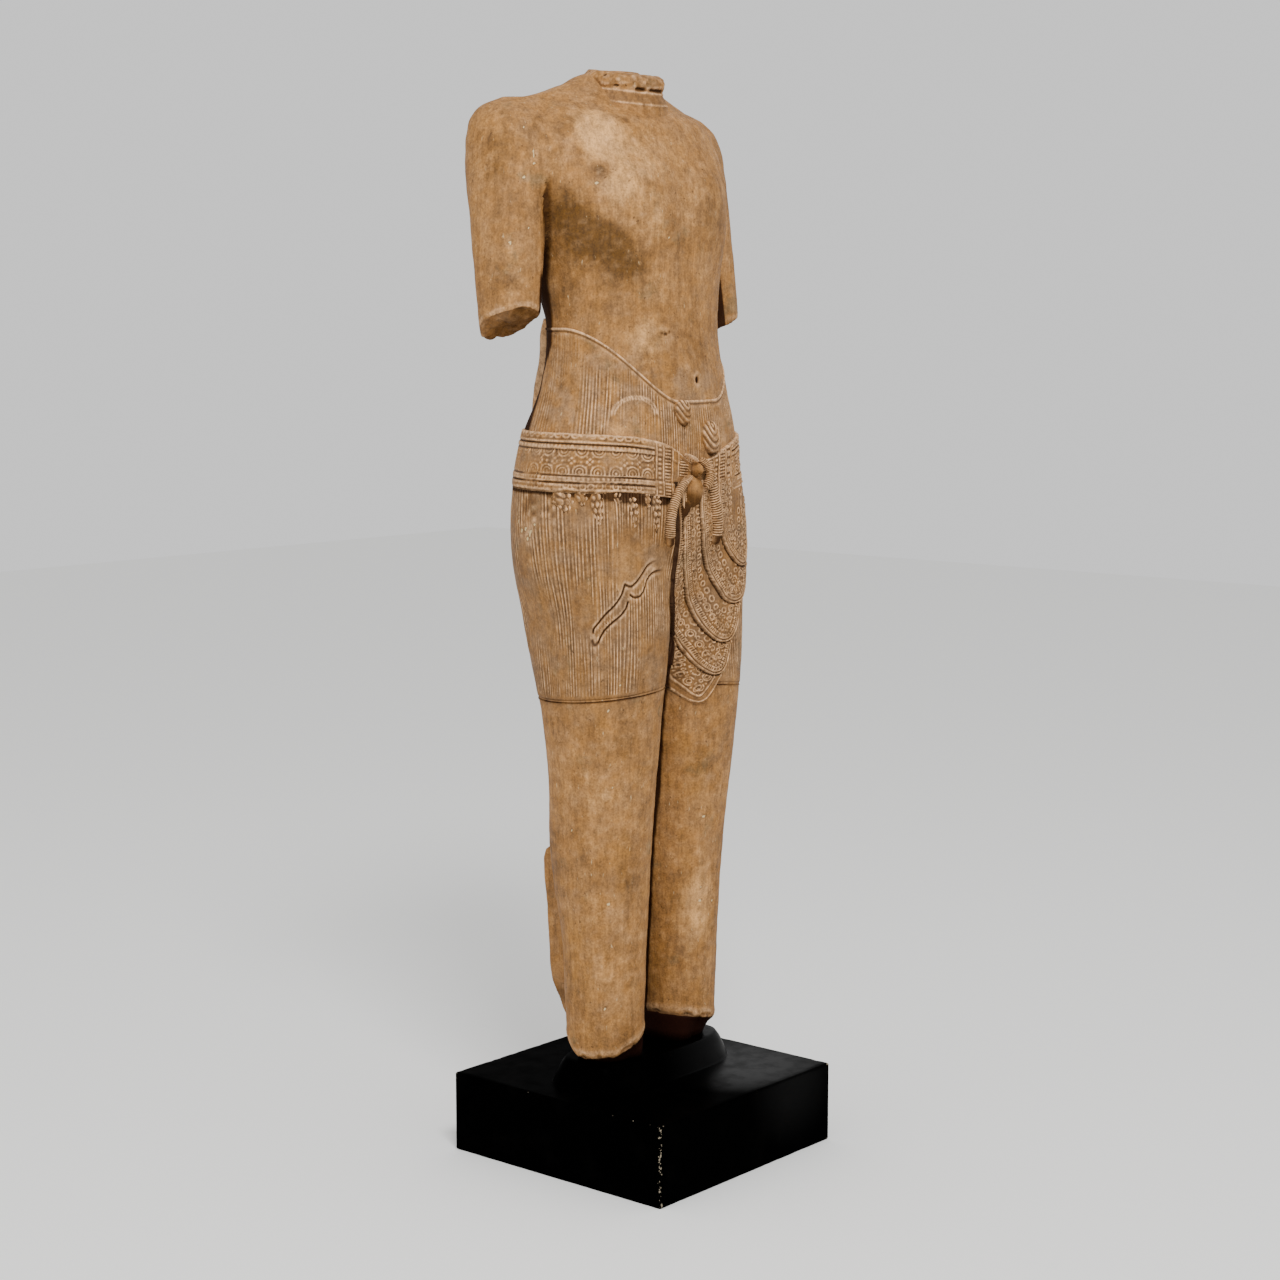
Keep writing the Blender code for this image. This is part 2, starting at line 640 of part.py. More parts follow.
def build():
    for thing in list(bpy.data.objects):
        bpy.data.objects.remove(thing, do_unlink=True)
    plaster = material("stained plaster", (0.30, 0.17, 0.08), 0.75)
    lacquer = material("black lacquer", (0.008, 0.007, 0.007), 0.25)
    figure = make_trunk()
    limbs = [make_leg(-1), make_leg(1), make_arm(-1), make_arm(1)]
    frame = [make_neck(), make_slab(), make_fan(), make_tail()]
    carving = make_swags() + make_ropes() + make_knot() + make_pendants() + [make_ribbon(), make_arc()]
    fuse(figure, limbs + frame + carving)
    finish(figure, "torso", plaster)
    finish(make_plinth(), "plinth", lacquer)


build()
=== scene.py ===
# %% [markdown]
# # A plaster deity torso on a black plinth
# The figure is a plaster cast of a carved stone statue: a standing deity without head, forearms or feet, in
# a pleated hip cloth with an ornamented belt, a knotted cord and a swag of folded cloth. It is stained brown
# and stands on a black lacquered block. This lesson dresses the plain measured solids of the frame with the
# fine surface of the cast. Every piece is a surface worked out with numpy: a function of two parameters on a
# grid.

# %% Load the frame that everything is fitted to
import math

import bpy
import numpy as np
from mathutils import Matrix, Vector


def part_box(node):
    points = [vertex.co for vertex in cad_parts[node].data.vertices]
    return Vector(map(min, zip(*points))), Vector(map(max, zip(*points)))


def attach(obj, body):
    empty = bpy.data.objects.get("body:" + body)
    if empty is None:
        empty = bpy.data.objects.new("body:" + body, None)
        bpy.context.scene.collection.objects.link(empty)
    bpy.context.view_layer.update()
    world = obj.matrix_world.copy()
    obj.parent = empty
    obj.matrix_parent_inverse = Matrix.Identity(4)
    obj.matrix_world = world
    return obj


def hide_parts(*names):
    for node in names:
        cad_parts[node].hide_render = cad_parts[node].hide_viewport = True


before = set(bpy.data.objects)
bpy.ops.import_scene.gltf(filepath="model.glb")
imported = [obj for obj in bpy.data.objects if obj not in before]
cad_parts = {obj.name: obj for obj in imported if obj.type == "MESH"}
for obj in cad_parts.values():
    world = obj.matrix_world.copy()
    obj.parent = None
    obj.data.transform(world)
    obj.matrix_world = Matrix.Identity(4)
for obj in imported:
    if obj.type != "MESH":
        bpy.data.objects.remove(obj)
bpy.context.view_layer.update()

PLINTH_LOW, PLINTH_HIGH = (np.array(corner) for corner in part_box("plinth"))
TORSO_LOW, TORSO_HIGH = (np.array(corner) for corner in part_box("torso"))
MM = 0.001
print("figure", np.round(TORSO_HIGH - TORSO_LOW, 3), "plinth", np.round(PLINTH_HIGH - PLINTH_LOW, 3))

# %% [markdown]
# ## The camera comes first
# The photograph looks at the figure's right front from chest height with a long lens. Its yaw, pitch and
# distance follow from the plinth's corners, whose real size the frame holds. A long focal length keeps the
# verticals nearly parallel, as they are in the photograph.

# %% Camera at the photograph's angle
FRAME_PIXELS = 1280
FOCAL_PIXELS = 2500
SENSOR_MM = 36.0
CAMERA_PLACE = (-2.126, -1.798, 0.948)
CAMERA_YAW = math.radians(49.7)
CAMERA_PITCH = math.radians(7.41)

camera_data = bpy.data.cameras.new("camera")
camera_data.sensor_width = SENSOR_MM
camera_data.lens = FOCAL_PIXELS / FRAME_PIXELS * SENSOR_MM
camera = bpy.data.objects.new("camera", camera_data)
camera.location = CAMERA_PLACE
camera.rotation_euler = (math.pi / 2 - CAMERA_PITCH, 0.0, -CAMERA_YAW)
bpy.context.scene.collection.objects.link(camera)
bpy.context.scene.camera = camera
print("lens", round(camera_data.lens, 2), "mm")

# %% [markdown]
# ## Sections of the body
# A body is easiest to describe by level cross-sections: how wide it is, and how deep before and behind its
# middle. Each section is a superellipse, an ellipse whose power makes it a little boxier. Between the
# sections every measure follows a cubic Hermite curve, so a few rows give a smooth limb. The same tables
# shape the solids of the frame, which is why the new surfaces lie on them.

# %% Section tables: height, centre x, centre y, half width, depth in front, depth behind, power
TRUNK = np.array([
    (0.56, 0.0, 0.012, 0.092, 0.036, 0.07, 2.2), (0.62, 0.0, 0.014, 0.128, 0.062, 0.092, 2.2),
    (0.665, 0.0, 0.015, 0.146, 0.077, 0.104, 2.2), (0.71, 0.0, 0.016, 0.151, 0.089, 0.108, 2.2),
    (0.76, 0.0, 0.018, 0.149, 0.091, 0.103, 2.2), (0.82, 0.0, 0.018, 0.138, 0.09, 0.092, 2.2),
    (0.87, 0.0, 0.018, 0.124, 0.084, 0.068, 2.2), (0.93, 0.0, 0.02, 0.117, 0.077, 0.058, 2.2),
    (0.99, 0.0, 0.026, 0.123, 0.083, 0.07, 2.3), (1.05, 0.0, 0.033, 0.136, 0.091, 0.081, 2.35),
    (1.1, 0.0, 0.041, 0.143, 0.091, 0.08, 2.35), (1.135, 0.0, 0.048, 0.141, 0.084, 0.07, 2.3),
    (1.16, 0.0, 0.052, 0.13, 0.074, 0.056, 2.2), (1.174, 0.0, 0.057, 0.116, 0.058, 0.044, 2.1),
    (1.186, 0.0, 0.056, 0.093, 0.047, 0.038, 2.0), (1.198, 0.0, 0.052, 0.064, 0.036, 0.034, 2.0),
    (1.207, 0.0, 0.046, 0.046, 0.03, 0.032, 2.0), (1.212, 0.0, 0.04, 0.03, 0.022, 0.026, 2.0),
])
LEG = np.array([
    (0.09, 0.0625, 0.002, 0.0395, 0.042, 0.042, 2.2), (0.165, 0.0633, 0.0027, 0.0415, 0.044, 0.044, 2.2),
    (0.26, 0.0635, 0.0037, 0.045, 0.048, 0.048, 2.2), (0.353, 0.0648, 0.0077, 0.053, 0.056, 0.056, 2.2),
    (0.44, 0.067, 0.003, 0.056, 0.06, 0.06, 2.2), (0.515, 0.0679, 0.003, 0.063, 0.0667, 0.0669, 2.2),
    (0.6, 0.065, 0.006, 0.069, 0.075, 0.09, 2.2), (0.7, 0.065, 0.01, 0.075, 0.075, 0.101, 2.2),
    (0.78, 0.062, 0.016, 0.071, 0.076, 0.09, 2.2),
])
ARM = np.array([
    (0.91, 0.173, 0.0385, 0.029, 0.032, 0.032, 2.1), (0.97, 0.168, 0.0455, 0.0325, 0.0355, 0.0355, 2.1),
    (1.05, 0.158, 0.0555, 0.038, 0.042, 0.042, 2.1), (1.11, 0.149, 0.0635, 0.043, 0.047, 0.047, 2.1),
    (1.14, 0.145, 0.0665, 0.043, 0.045, 0.045, 2.1), (1.158, 0.139, 0.0695, 0.042, 0.04, 0.039, 2.1),
    (1.17, 0.129, 0.0725, 0.038, 0.032, 0.03, 2.1), (1.179, 0.113, 0.0725, 0.029, 0.022, 0.019, 2.1),
])


def measures(table, height):
    """Every measure at any heights. Formula: a cubic Hermite curve through each column of the table."""
    heights, values = table[:, 0], table[:, 1:]
    slopes = np.gradient(values, heights, axis=0)
    i = np.clip(np.searchsorted(heights, height) - 1, 0, len(heights) - 2)
    span = (heights[i + 1] - heights[i])[..., None]
    t = np.clip((height - heights[i])[..., None] / span, 0.0, 1.0)
    start = (2 * t**3 - 3 * t**2 + 1) * values[i] + (t**3 - 2 * t**2 + t) * span * slopes[i]
    end = (3 * t**2 - 2 * t**3) * values[i + 1] + (t**3 - t**2) * span * slopes[i + 1]
    return np.moveaxis(start + end, -1, 0)


def superellipse(sine, cosine, wide, depth, power):
    """The outline's distance from its middle. Formula: (|sin|/width ^ n + |cos|/depth ^ n) ^ (-1/n)."""
    return ((np.abs(sine) / wide) ** power + (np.abs(cosine) / depth) ** power) ** (-1 / power)


def reach(table, height, sine, cosine):
    """How far a limb's outline reaches at a height: a superellipse, deeper before or behind."""
    _, _, wide, front, back, power = measures(table, height)
    return superellipse(sine, cosine, wide, np.where(cosine > 0, front, back), power)


print("sections", len(TRUNK), "of the trunk,", len(LEG), "of a leg,", len(ARM), "of an arm")

# %% [markdown]
# ## Soft joins between limbs
# On the real statue an arm flows into the chest without a seam. Two separate tubes would meet in a hard
# crease, so the body is described as a field: how far a place is outside the trunk or a limb, whichever is
# nearer, with a smooth minimum that fills the hollow between them. A skin is then found by sending a ray
# from inside the limb through each grid point, and stopping where the field crosses zero.


# %% Small curves used everywhere
def ease(value):
    """0 below 0 and 1 above 1. Formula: t squared times (3 - 2t)."""
    t = np.clip(value, 0.0, 1.0)
    return t * t * (3 - 2 * t)


def bump(value, centre, width):
    """A soft rise. Formula: e to the minus ((value - centre) / width) squared."""
    return np.exp(-(((value - centre) / width) ** 2))


def between(low, high, share):
    """Formula: the low value plus a share of the difference."""
    return low + share * (high - low)


def cell(way, pitch):
    """How far each place is from the middle of its cell in a repeating row."""
    return way - pitch * np.round(way / pitch)


def line(value, centre, width):
    """A rounded ridge. Formula: a bump as wide as the ridge."""
    return bump(value, centre, width * 0.55)


def inside(value, low, high, soft):
    """1 between two values and 0 outside, with soft sides."""
    return ease((value - low) / soft + 0.5) * ease((high - value) / soft + 0.5)


def soft_least(a, b, width):
    """The smaller of two distances with a rounded corner. Formula: the polynomial smooth minimum."""
    share = np.clip(0.5 + 0.5 * (b - a) / width, 0.0, 1.0)
    return between(b, a, share) - width * share * (1 - share)


# %% How far a place is outside the trunk and the limbs
def muscle(x, y, z):
    """Soft relief on the bare trunk. Formula: bumps for chest, belly and blades, less midline and spine."""
    front = ease((0.03 - y) / 0.03)
    chest = 0.006 * bump(np.abs(x), 0.058, 0.04) * bump(z, 1.075, 0.036)
    belly = 0.003 * bump(x, 0.0, 0.05) * bump(z, 0.905, 0.04)
    midline = -0.002 * bump(x, 0.0, 0.01) * bump(z, 1.045, 0.06)
    spine = -0.005 * bump(x, 0.0, 0.014) * bump(z, 1.04, 0.07)
    blade = 0.004 * bump(np.abs(x), 0.065, 0.035) * bump(z, 1.095, 0.04)
    return front * (chest + belly + midline) + (1 - front) * (spine + blade)


def outside(table, place, side=0):
    """Formula: the greater of the distance past the limb's outline and the height past its top."""
    x, y, z = np.moveaxis(place, -1, 0)
    centre = measures(table, z)
    dx = x - side * centre[0]
    dy = centre[1] - y
    away = np.hypot(dx, dy) + 1e-9
    edge = reach(table, z, dx / away, dy / away)
    if side == 0:
        edge = edge + muscle(x, y, z)
    return np.maximum(away - edge, z - table[-1, 0])


ARMPIT_BLEND = 0.005
SHOULDER_BLEND = 0.028
HIP_BLEND = 0.012


def trunk_only(place):
    """How far outside the trunk a place is."""
    return outside(TRUNK, place)


def arms_only(place):
    """How far outside the nearer arm a place is."""
    return np.minimum(outside(ARM, place, -1), outside(ARM, place, 1))


def upper_body(place):
    """Trunk and arms. Formula: the soft least of their distances, rounder from armpit to shoulder."""
    blend = between(ARMPIT_BLEND, SHOULDER_BLEND, ease((place[..., 2] - 1.04) / 0.07))
    return soft_least(trunk_only(place), arms_only(place), blend)


def lower_body(place):
    """Trunk and legs. Formula: the soft least of their distances, where the trunk ends at its lowest row."""
    legs = np.minimum(outside(LEG, place, -1), outside(LEG, place, 1))
    trunk = trunk_only(place) + np.maximum(TRUNK[0, 0] - place[..., 2], 0.0)
    return soft_least(trunk, legs, HIP_BLEND)


# %% Finding a skin along rays
MARCH_STEPS = 14
HALVINGS = 11


def way_out(field, start, along, near, far):
    """How far each ray goes until the field is zero. Formula: march until it is positive, then halve."""
    shape = along.shape[:-1]
    near, far = np.broadcast_to(near, shape), np.broadcast_to(far, shape)
    low, high, last = near.copy(), far.copy(), near
    found = np.zeros(shape, bool)
    for share in np.linspace(0.0, 1.0, MARCH_STEPS + 1)[1:]:
        there = between(near, far, share)
        crossed = (field(start + along * there[..., None]) > 0) & ~found
        low = np.where(crossed, last, low)
        high = np.where(crossed, there, high)
        found |= crossed
        last = there
    for _ in range(HALVINGS):
        middle = (low + high) / 2
        out = field(start + along * middle[..., None]) > 0
        high = np.where(out, middle, high)
        low = np.where(out, low, middle)
    return np.where(found, (low + high) / 2, far)


def running(steps):
    """The running sum of steps, from 0."""
    return np.concatenate([[0], np.cumsum(steps)])


def length_along(points):
    """The way along a row of points. Formula: the running sum of the distances between them."""
    return running(np.linalg.norm(np.diff(points, axis=0), axis=1))


def spread(low, high, count, *crowds):
    """Numbers that crowd where detail is wanted. Formula: even shares of a running sum of 1 plus bumps."""
    fine = np.linspace(low, high, 3000)
    weight = np.ones(len(fine)) + sum(gain * bump(fine, centre, width) for centre, width, gain in crowds)
    length = running((weight[1:] + weight[:-1]) / 2)
    return np.interp(np.linspace(0, length[-1], count), length, fine)


def around(columns, *crowds):
    """Angles from straight behind round to straight behind, 0 in front, growing towards the figure's left."""
    return spread(-math.pi, math.pi, columns + 1, *crowds)[:-1]


print("joins are rounded over", ARMPIT_BLEND / MM, "to", SHOULDER_BLEND / MM, "and", HIP_BLEND / MM, "mm")

# %% [markdown]
# ## Meshes from grids
# A grid of rows and columns becomes a closed skin when the last column joins the first and each end row
# shrinks to a pole. The mesh is filled with whole arrays. Five numbers are stored on every vertex for the
# material: how hollow its place is, how raised, how chipped, how much painted shade it carries, and how
# light or dark the cloud of stain and painted shading over it is.


# %% Turning a grid into a closed mesh
def ring_faces(rows, columns):
    """Quads between neighbouring rows, and a fan of triangles to a pole at each end."""
    row, column = np.meshgrid(np.arange(rows - 1), np.arange(columns), indexing="ij")
    after = (column + 1) % columns
    quads = np.stack([row * columns + column, row * columns + after,
                      (row + 1) * columns + after, (row + 1) * columns + column], -1).reshape(-1, 4)
    c = np.arange(columns)
    d = (c + 1) % columns
    low_pole = np.stack([np.full(columns, rows * columns), d, c], -1)
    last = (rows - 1) * columns
    high_pole = np.stack([np.full(columns, rows * columns + 1), last + c, last + d], -1)
    return quads, np.concatenate([low_pole, high_pole])


def fill_mesh(name, points, quads, triangles):
    """A smooth mesh from whole arrays of points, quads and triangles, linked to the scene."""
    mesh = bpy.data.meshes.new(name)
    mesh.vertices.add(len(points))
    mesh.vertices.foreach_set("co", np.ascontiguousarray(points, np.float32).ravel())
    corners = np.concatenate([quads.ravel(), triangles.ravel()]).astype(np.int32)
    mesh.loops.add(len(corners))
    mesh.loops.foreach_set("vertex_index", corners)
    starts = np.concatenate([np.arange(len(quads)) * 4, len(quads) * 4 + np.arange(len(triangles)) * 3])
    mesh.polygons.add(len(starts))
    mesh.polygons.foreach_set("loop_start", starts.astype(np.int32))
    mesh.polygons.foreach_set("use_smooth", np.ones(len(starts), bool))
    mesh.update(calc_edges=True)
    mesh.validate()
    thing = bpy.data.objects.new(name, mesh)
    bpy.context.scene.collection.objects.link(thing)
    return thing


def store(thing, **fields):
    """Puts named numbers on the vertices. A pole takes the mean of its row."""
    for key, grid in fields.items():
        flat = np.concatenate([grid.ravel(), [grid[0].mean(), grid[-1].mean()]])
        layer = thing.data.attributes.new(key, "FLOAT", "POINT")
        layer.data.foreach_set("value", flat.astype(np.float32))


def skin(name, grid):
    """A closed skin over a grid of points. Its rows go up, its columns round towards the figure's left."""
    poles = np.stack([grid[0].mean(axis=0), grid[-1].mean(axis=0)])
    rows, columns = grid.shape[:2]
    return fill_mesh(name, np.concatenate([grid.reshape(-1, 3), poles]), *ring_faces(rows, columns))


# %% Normals, blurs and noise on grids
def grid_normals(grid):
    """Outward directions. Formula: the cross product of the steps along a column and along a row."""
    around_step = np.roll(grid, -1, axis=1) - np.roll(grid, 1, axis=1)
    up_step = np.gradient(grid, axis=0)
    normal = np.cross(around_step, up_step)
    return normal / (np.linalg.norm(normal, axis=-1, keepdims=True) + 1e-12)


def blur(field, radius):
    """A box mean. Formula: running sums along the columns, which wrap round, and the rows, which stop."""
    width = 2 * radius + 1
    wide = np.concatenate([field[:, -radius:], field, field[:, :radius]], axis=1)
    sums = np.cumsum(np.pad(wide, ((0, 0), (1, 0))), axis=1)
    field = (sums[:, width:] - sums[:, :-width]) / width
    tall = np.pad(field, ((radius, radius), (0, 0)), mode="edge")
    sums = np.cumsum(np.pad(tall, ((1, 0), (0, 0))), axis=0)
    return (sums[width:] - sums[:-width]) / width


def lattice(i, j, k, seed):
    """A repeatable random number for each whole-numbered place. Formula: multiply, mix and mask the bits."""
    h = (i * 374761393 + j * 668265263 + k * 2147483647 + seed * 974634777) & 0xFFFFFFFF
    h = ((h ^ (h >> 13)) * 1274126177) & 0xFFFFFFFF
    return ((h ^ (h >> 16)) & 0xFFFFFF) / float(0xFFFFFF)


def noise(place, size, seed):
    """Soft noise from 0 to 1. Formula: eased blending of the eight lattice values around each place."""
    scaled = place / size
    whole = np.floor(scaled).astype(np.int64)
    part = ease(scaled - whole)
    total = 0.0
    for corner in range(8):
        a, b, c = corner & 1, corner >> 1 & 1, corner >> 2 & 1
        weight = np.where(a, part[..., 0], 1 - part[..., 0])
        weight = weight * np.where(b, part[..., 1], 1 - part[..., 1])
        weight = weight * np.where(c, part[..., 2], 1 - part[..., 2])
        total = total + weight * lattice(whole[..., 0] + a, whole[..., 1] + b, whole[..., 2] + c, seed)
    return total


def centred(place, size, seed):
    """Soft noise from -0.5 to 0.5."""
    return noise(place, size, seed) - 0.5


def patches(place, size, seed, low, soft):
    """From 0 to 1 in patches. Formula: noise, eased over a soft step that begins at a low value."""
    return ease((noise(place, size, seed) - low) / soft)


def hollow_and_ridge(relief, radius, depth):
    """How far the relief lies under and over its own blur, as shares of a depth."""
    gap = blur(relief, radius) - relief
    return np.clip(gap / depth, 0, 1), np.clip(-gap / depth, 0, 1)


print("noise over a metre:", np.round(noise(np.array([[0.1, 0.2, 0.3], [0.5, 0.6, 0.7]]), 0.05, 1), 3))

# %% [markdown]
# ## Weather and wear
# A cast shows a faint unevenness all over, and this one has been knocked about: small white chips where the
# stain has gone, pits on the neck and a few cracks. The unevenness is noise at three sizes. The chips are
# named places, each pressed a little into the surface and remembered in an attribute so that the material
# can show bare plaster there. Broad lighter and darker clouds, of stain and of painted shading, are soft
# blobs at named places too.

# %% Unevenness, chips, and clouds of stain and painted shading
# Chips on the figure: x, y, z and radius. Each disc shows at CHIP_SHARE of its radius
CHIPS = np.array([
    (-0.11, -0.029, 1.086, 0.0026), (-0.025, -0.058, 1.031, 0.002), (-0.158, 0.018, 1.119, 0.002),
    (-0.158, 0.017, 1.114, 0.0018), (-0.159, 0.016, 1.106, 0.0022), (-0.171, 0.02, 1.092, 0.0024),
    (-0.168, 0.02, 1.095, 0.0016), (-0.17, 0.014, 1.038, 0.0018), (-0.188, 0.024, 1.023, 0.0022),
    (-0.163, 0.027, 1.145, 0.0018), (-0.15, 0.028, 1.158, 0.0016), (-0.144, 0.027, 1.16, 0.0018),
    (-0.143, 0.056, 0.726, 0.0024), (-0.146, 0.049, 0.716, 0.003), (-0.149, 0.041, 0.719, 0.0026),
    (-0.149, 0.038, 0.708, 0.003), (-0.15, 0.032, 0.716, 0.0024), (-0.15, 0.034, 0.712, 0.0022),
    (-0.151, 0.026, 0.724, 0.0024), (0.009, -0.034, 0.558, 0.0024), (-0.098, -0.033, 0.305, 0.0018),
    (-0.097, -0.026, 0.185, 0.002), (0.069, -0.045, 0.282, 0.0022), (0.06, -0.045, 0.262, 0.0018),
    (-0.105, -0.056, 0.552, 0.0016), (0.12, 0.03, 1.12, 0.002), (0.0514, -0.0457, 0.33, 0.0014),
    (0.0506, -0.0448, 0.315, 0.0016), (0.0499, -0.0441, 0.299, 0.0018), (0.049, -0.0433, 0.285, 0.002),
    (0.0479, -0.0427, 0.276, 0.0014), (0.0488, -0.0489, 0.3825, 0.0018), (0.047, -0.0408, 0.2325, 0.0012),
    (-0.1207, 0.0019, 0.404, 0.001), (-0.1203, 0.0023, 0.395, 0.001), (-0.1198, 0.0027, 0.387, 0.001),
    (-0.1187, 0.0039, 0.3665, 0.001), (-0.1046, -0.0438, 0.4385, 0.0014), (-0.096, -0.0509, 0.447, 0.0014),
    (-0.0738, -0.0575, 0.448, 0.0014), (-0.1139, -0.0463, 0.5225, 0.0016),
    (-0.1105, -0.048, 0.5225, 0.0014), (0.085, 0.13, 0.86, 0.0022), (-0.06, 0.115, 1.06, 0.0022),
    (0.07, 0.098, 0.64, 0.0024),
])
# Clouds of stain and painted shading: x, y, z, breadth, height and how light (+) or dark (-)
CLOUDS = np.array([
    (-0.13, 0.0, 1.062, 0.022, 0.024, -1.4), (-0.112, -0.025, 1.036, 0.026, 0.024, -1.5),
    (-0.092, -0.04, 1.018, 0.028, 0.021, -1.3), (-0.068, -0.048, 1.0, 0.028, 0.018, -0.8),
    (-0.105, -0.03, 1.1015, 0.007, 0.006, -2.6), (-0.137, -0.002, 1.146, 0.024, 0.024, -0.5),
    (-0.165, 0.01, 1.14, 0.032, 0.034, -0.6), (-0.088, -0.05, 0.972, 0.034, 0.03, -0.6),
    (-0.128, 0.004, 1.01, 0.03, 0.04, -0.9), (-0.1, -0.015, 1.14, 0.04, 0.036, 1.0),
    (-0.095, -0.045, 1.08, 0.022, 0.024, 0.8), (-0.06, -0.045, 1.11, 0.04, 0.034, 0.5),
    (-0.055, -0.052, 0.925, 0.03, 0.034, 0.7), (-0.045, -0.055, 1.045, 0.016, 0.026, 0.5),
    (0.02, -0.06, 0.9, 0.034, 0.036, -0.6), (0.06, -0.05, 1.06, 0.04, 0.05, -0.8),
    (-0.198, 0.04, 1.11, 0.024, 0.05, -0.8), (-0.188, 0.02, 1.0, 0.018, 0.05, 0.5),
    (-0.135, -0.01, 1.12, 0.014, 0.04, -0.5), (-0.07, 0.03, 1.19, 0.04, 0.014, 0.2),
    (-0.14, -0.005, 0.9, 0.03, 0.04, 0.3), (-0.12, -0.035, 0.69, 0.034, 0.05, 0.3),
    (-0.14, 0.01, 0.65, 0.04, 0.06, -0.4), (0.095, -0.04, 0.6, 0.03, 0.08, -0.8),
    (-0.07, -0.06, 0.64, 0.03, 0.05, -0.2), (-0.101, -0.05, 0.48, 0.026, 0.022, -0.6),
    (-0.077, -0.046, 0.33, 0.022, 0.026, -0.5), (-0.106, -0.03, 0.43, 0.026, 0.06, 0.5),
    (-0.11, -0.016, 0.3, 0.02, 0.05, 0.3), (0.045, -0.045, 0.28, 0.03, 0.06, 0.8),
    (0.042, -0.05, 0.44, 0.03, 0.04, -0.4), (-0.094, -0.031, 0.208, 0.026, 0.03, -0.2),
    (0.0, 0.11, 1.05, 0.08, 0.06, 0.3), (0.11, 0.06, 0.95, 0.04, 0.05, -0.5),
    (-0.06, 0.1, 0.6, 0.04, 0.05, -0.4), (0.07, 0.1, 0.7, 0.04, 0.04, 0.3),
    (0.19, 0.05, 1.05, 0.02, 0.05, 0.3),
])
CHIP_DEPTH = 0.0011
CHIP_SHARE = 0.78


def weather(place):
    """Formula: three sizes of noise, each weighted by a fraction of a millimetre, and centred on zero."""
    broad = 0.001 * centred(place, 0.034, 3)
    middle = 0.0006 * centred(place, 0.011, 4)
    return broad + middle + 0.00026 * centred(place, 0.0042, 5)


def chipped(place):
    """0 on the stained skin and 1 in a chip. Formula: the highest of the chips' ragged discs."""
    ragged = 1 + 0.9 * centred(place, 0.0022, 6)
    most = np.zeros(place.shape[:-1])
    for *centre, radius in CHIPS:
        away = np.linalg.norm(place - centre, axis=-1) * ragged
        most = np.maximum(most, 1 - ease(away / (CHIP_SHARE * radius) - 0.5))
    return most


def clouded(place):
    """Formula: the sum of broad bumps, each wider or taller as its row says."""
    total = np.zeros(place.shape[:-1])
    for *centre, breadth, height, amount in CLOUDS:
        away = (place - centre) / (breadth, breadth, height)
        total = total + amount * np.exp(-(away**2).sum(axis=-1))
    return total


def raised(grid, relief):
    """Moves every point of a grid out along the grid's own normal."""
    return grid + grid_normals(grid) * relief[..., None]


PLASTER_PIECES = []


def keep(name, surface, hollow, ridge, chip=0.0, deep=0.0):
    """A plaster piece: a skin that holds on each vertex what the plaster's material reads."""
    thing = skin(name, surface)
    fields = {"hollow": hollow, "ridge": ridge, "chip": chip, "deep": deep, "cloud": clouded(surface)}
    store(thing, **{key: field + np.zeros(surface.shape[:-1]) for key, field in fields.items()})
    PLASTER_PIECES.append(thing)
    low, high = surface.min(axis=(0, 1)), surface.max(axis=(0, 1))
    print(name, len(thing.data.polygons), "faces,", np.round(low, 3), "to", np.round(high, 3))
    return thing


def plaster(name, grid, relief, hollow_depth, blur_cells, chip=0.0, deep=0.0, painted_shade=0.0, wear_and_highlight=0.0):
    """A plaster piece whose relief goes onto its grid and gives its hollows and ridges."""
    hollow, ridge = hollow_and_ridge(relief, blur_cells, hollow_depth)
    # Painted shade joins the hollows, and wear and painted highlights join the ridges
    hollow, ridge = np.clip(hollow + painted_shade, 0, 1), np.clip(ridge + wear_and_highlight, 0, 1)
    return keep(name, raised(grid, relief), hollow, ridge, chip, deep)


# %% One limb's share of the joined skin
# A ray starts to look for the skin NEAR its own middle and gives up FAR from it
NEAR, FAR = 0.03, 0.19
# A limb's own skin ends COVER inside its neighbour, and sinks by TUCK where the neighbour's skin takes over
COVER = 0.012
TUCK = 0.0006
TUCK_WIDTH = 0.006


def limb_skin(own, others, joined, start, along):
    """Formula: the ray's way out of the limb alone, then up to COVER more to leave the joined body."""
    alone = way_out(own, start, along, 0.0, FAR)
    place = start + along * way_out(joined, start, along, alone, alone + COVER)[..., None]
    nearer = own(place) - others(place)
    return place - along * (TUCK * ease(nearer / TUCK_WIDTH))[..., None]


def level_rays(table, side, angle, height):
    """Level rays from a limb's middle at each height."""
    angle, height = np.broadcast_arrays(angle, height)
    centre = measures(table, height)
    start = np.stack([side * centre[0], centre[1], height], -1)
    return start, np.stack([np.sin(angle), -np.cos(angle), np.zeros(angle.shape)], -1)


def even_heights(table, low, high, count):
    """Heights at even steps along a limb's side. Formula: the running length of its half width's curve."""
    z = np.linspace(low, high, 400)
    wide = measures(table, z)[2]
    length = running(np.hypot(np.diff(z), np.diff(wide)))
    return np.interp(np.linspace(0, length[-1], count), length, z)


def on_trunk(angle, heights):
    """A grid on the trunk alone, where level rays at each height leave it."""
    start, along = level_rays(TRUNK, 0, angle, heights)
    return start + along * way_out(trunk_only, start, along, NEAR, FAR)[..., None]


# %% [markdown]
# ## The bare trunk
# Chest, belly and back are smooth, with broad soft muscle. The hip cloth's upper edge curves round them, low
# in front and high at the sides, so the skin's lowest rows follow that edge. Rows and columns crowd round
# the navel, which is a small deep hole.

# %% The cloth's and the belt's edges round the body
LEVEL = 0.965
WAIST_HEM_FRONT, WAIST_HEM_RISE, WAIST_HEM_TURN = 0.855, 0.079, 8.0
BELT_SIDE_TOP, BELT_TOP_DIP = 0.824, 0.037
BELT_SIDE_BOTTOM, BELT_BOTTOM_DIP = 0.7615, 0.0145
LEG_HEM_RIGHT, LEG_HEM_LEFT = 0.5345, 0.5275
HEM_ROLL = 0.0008


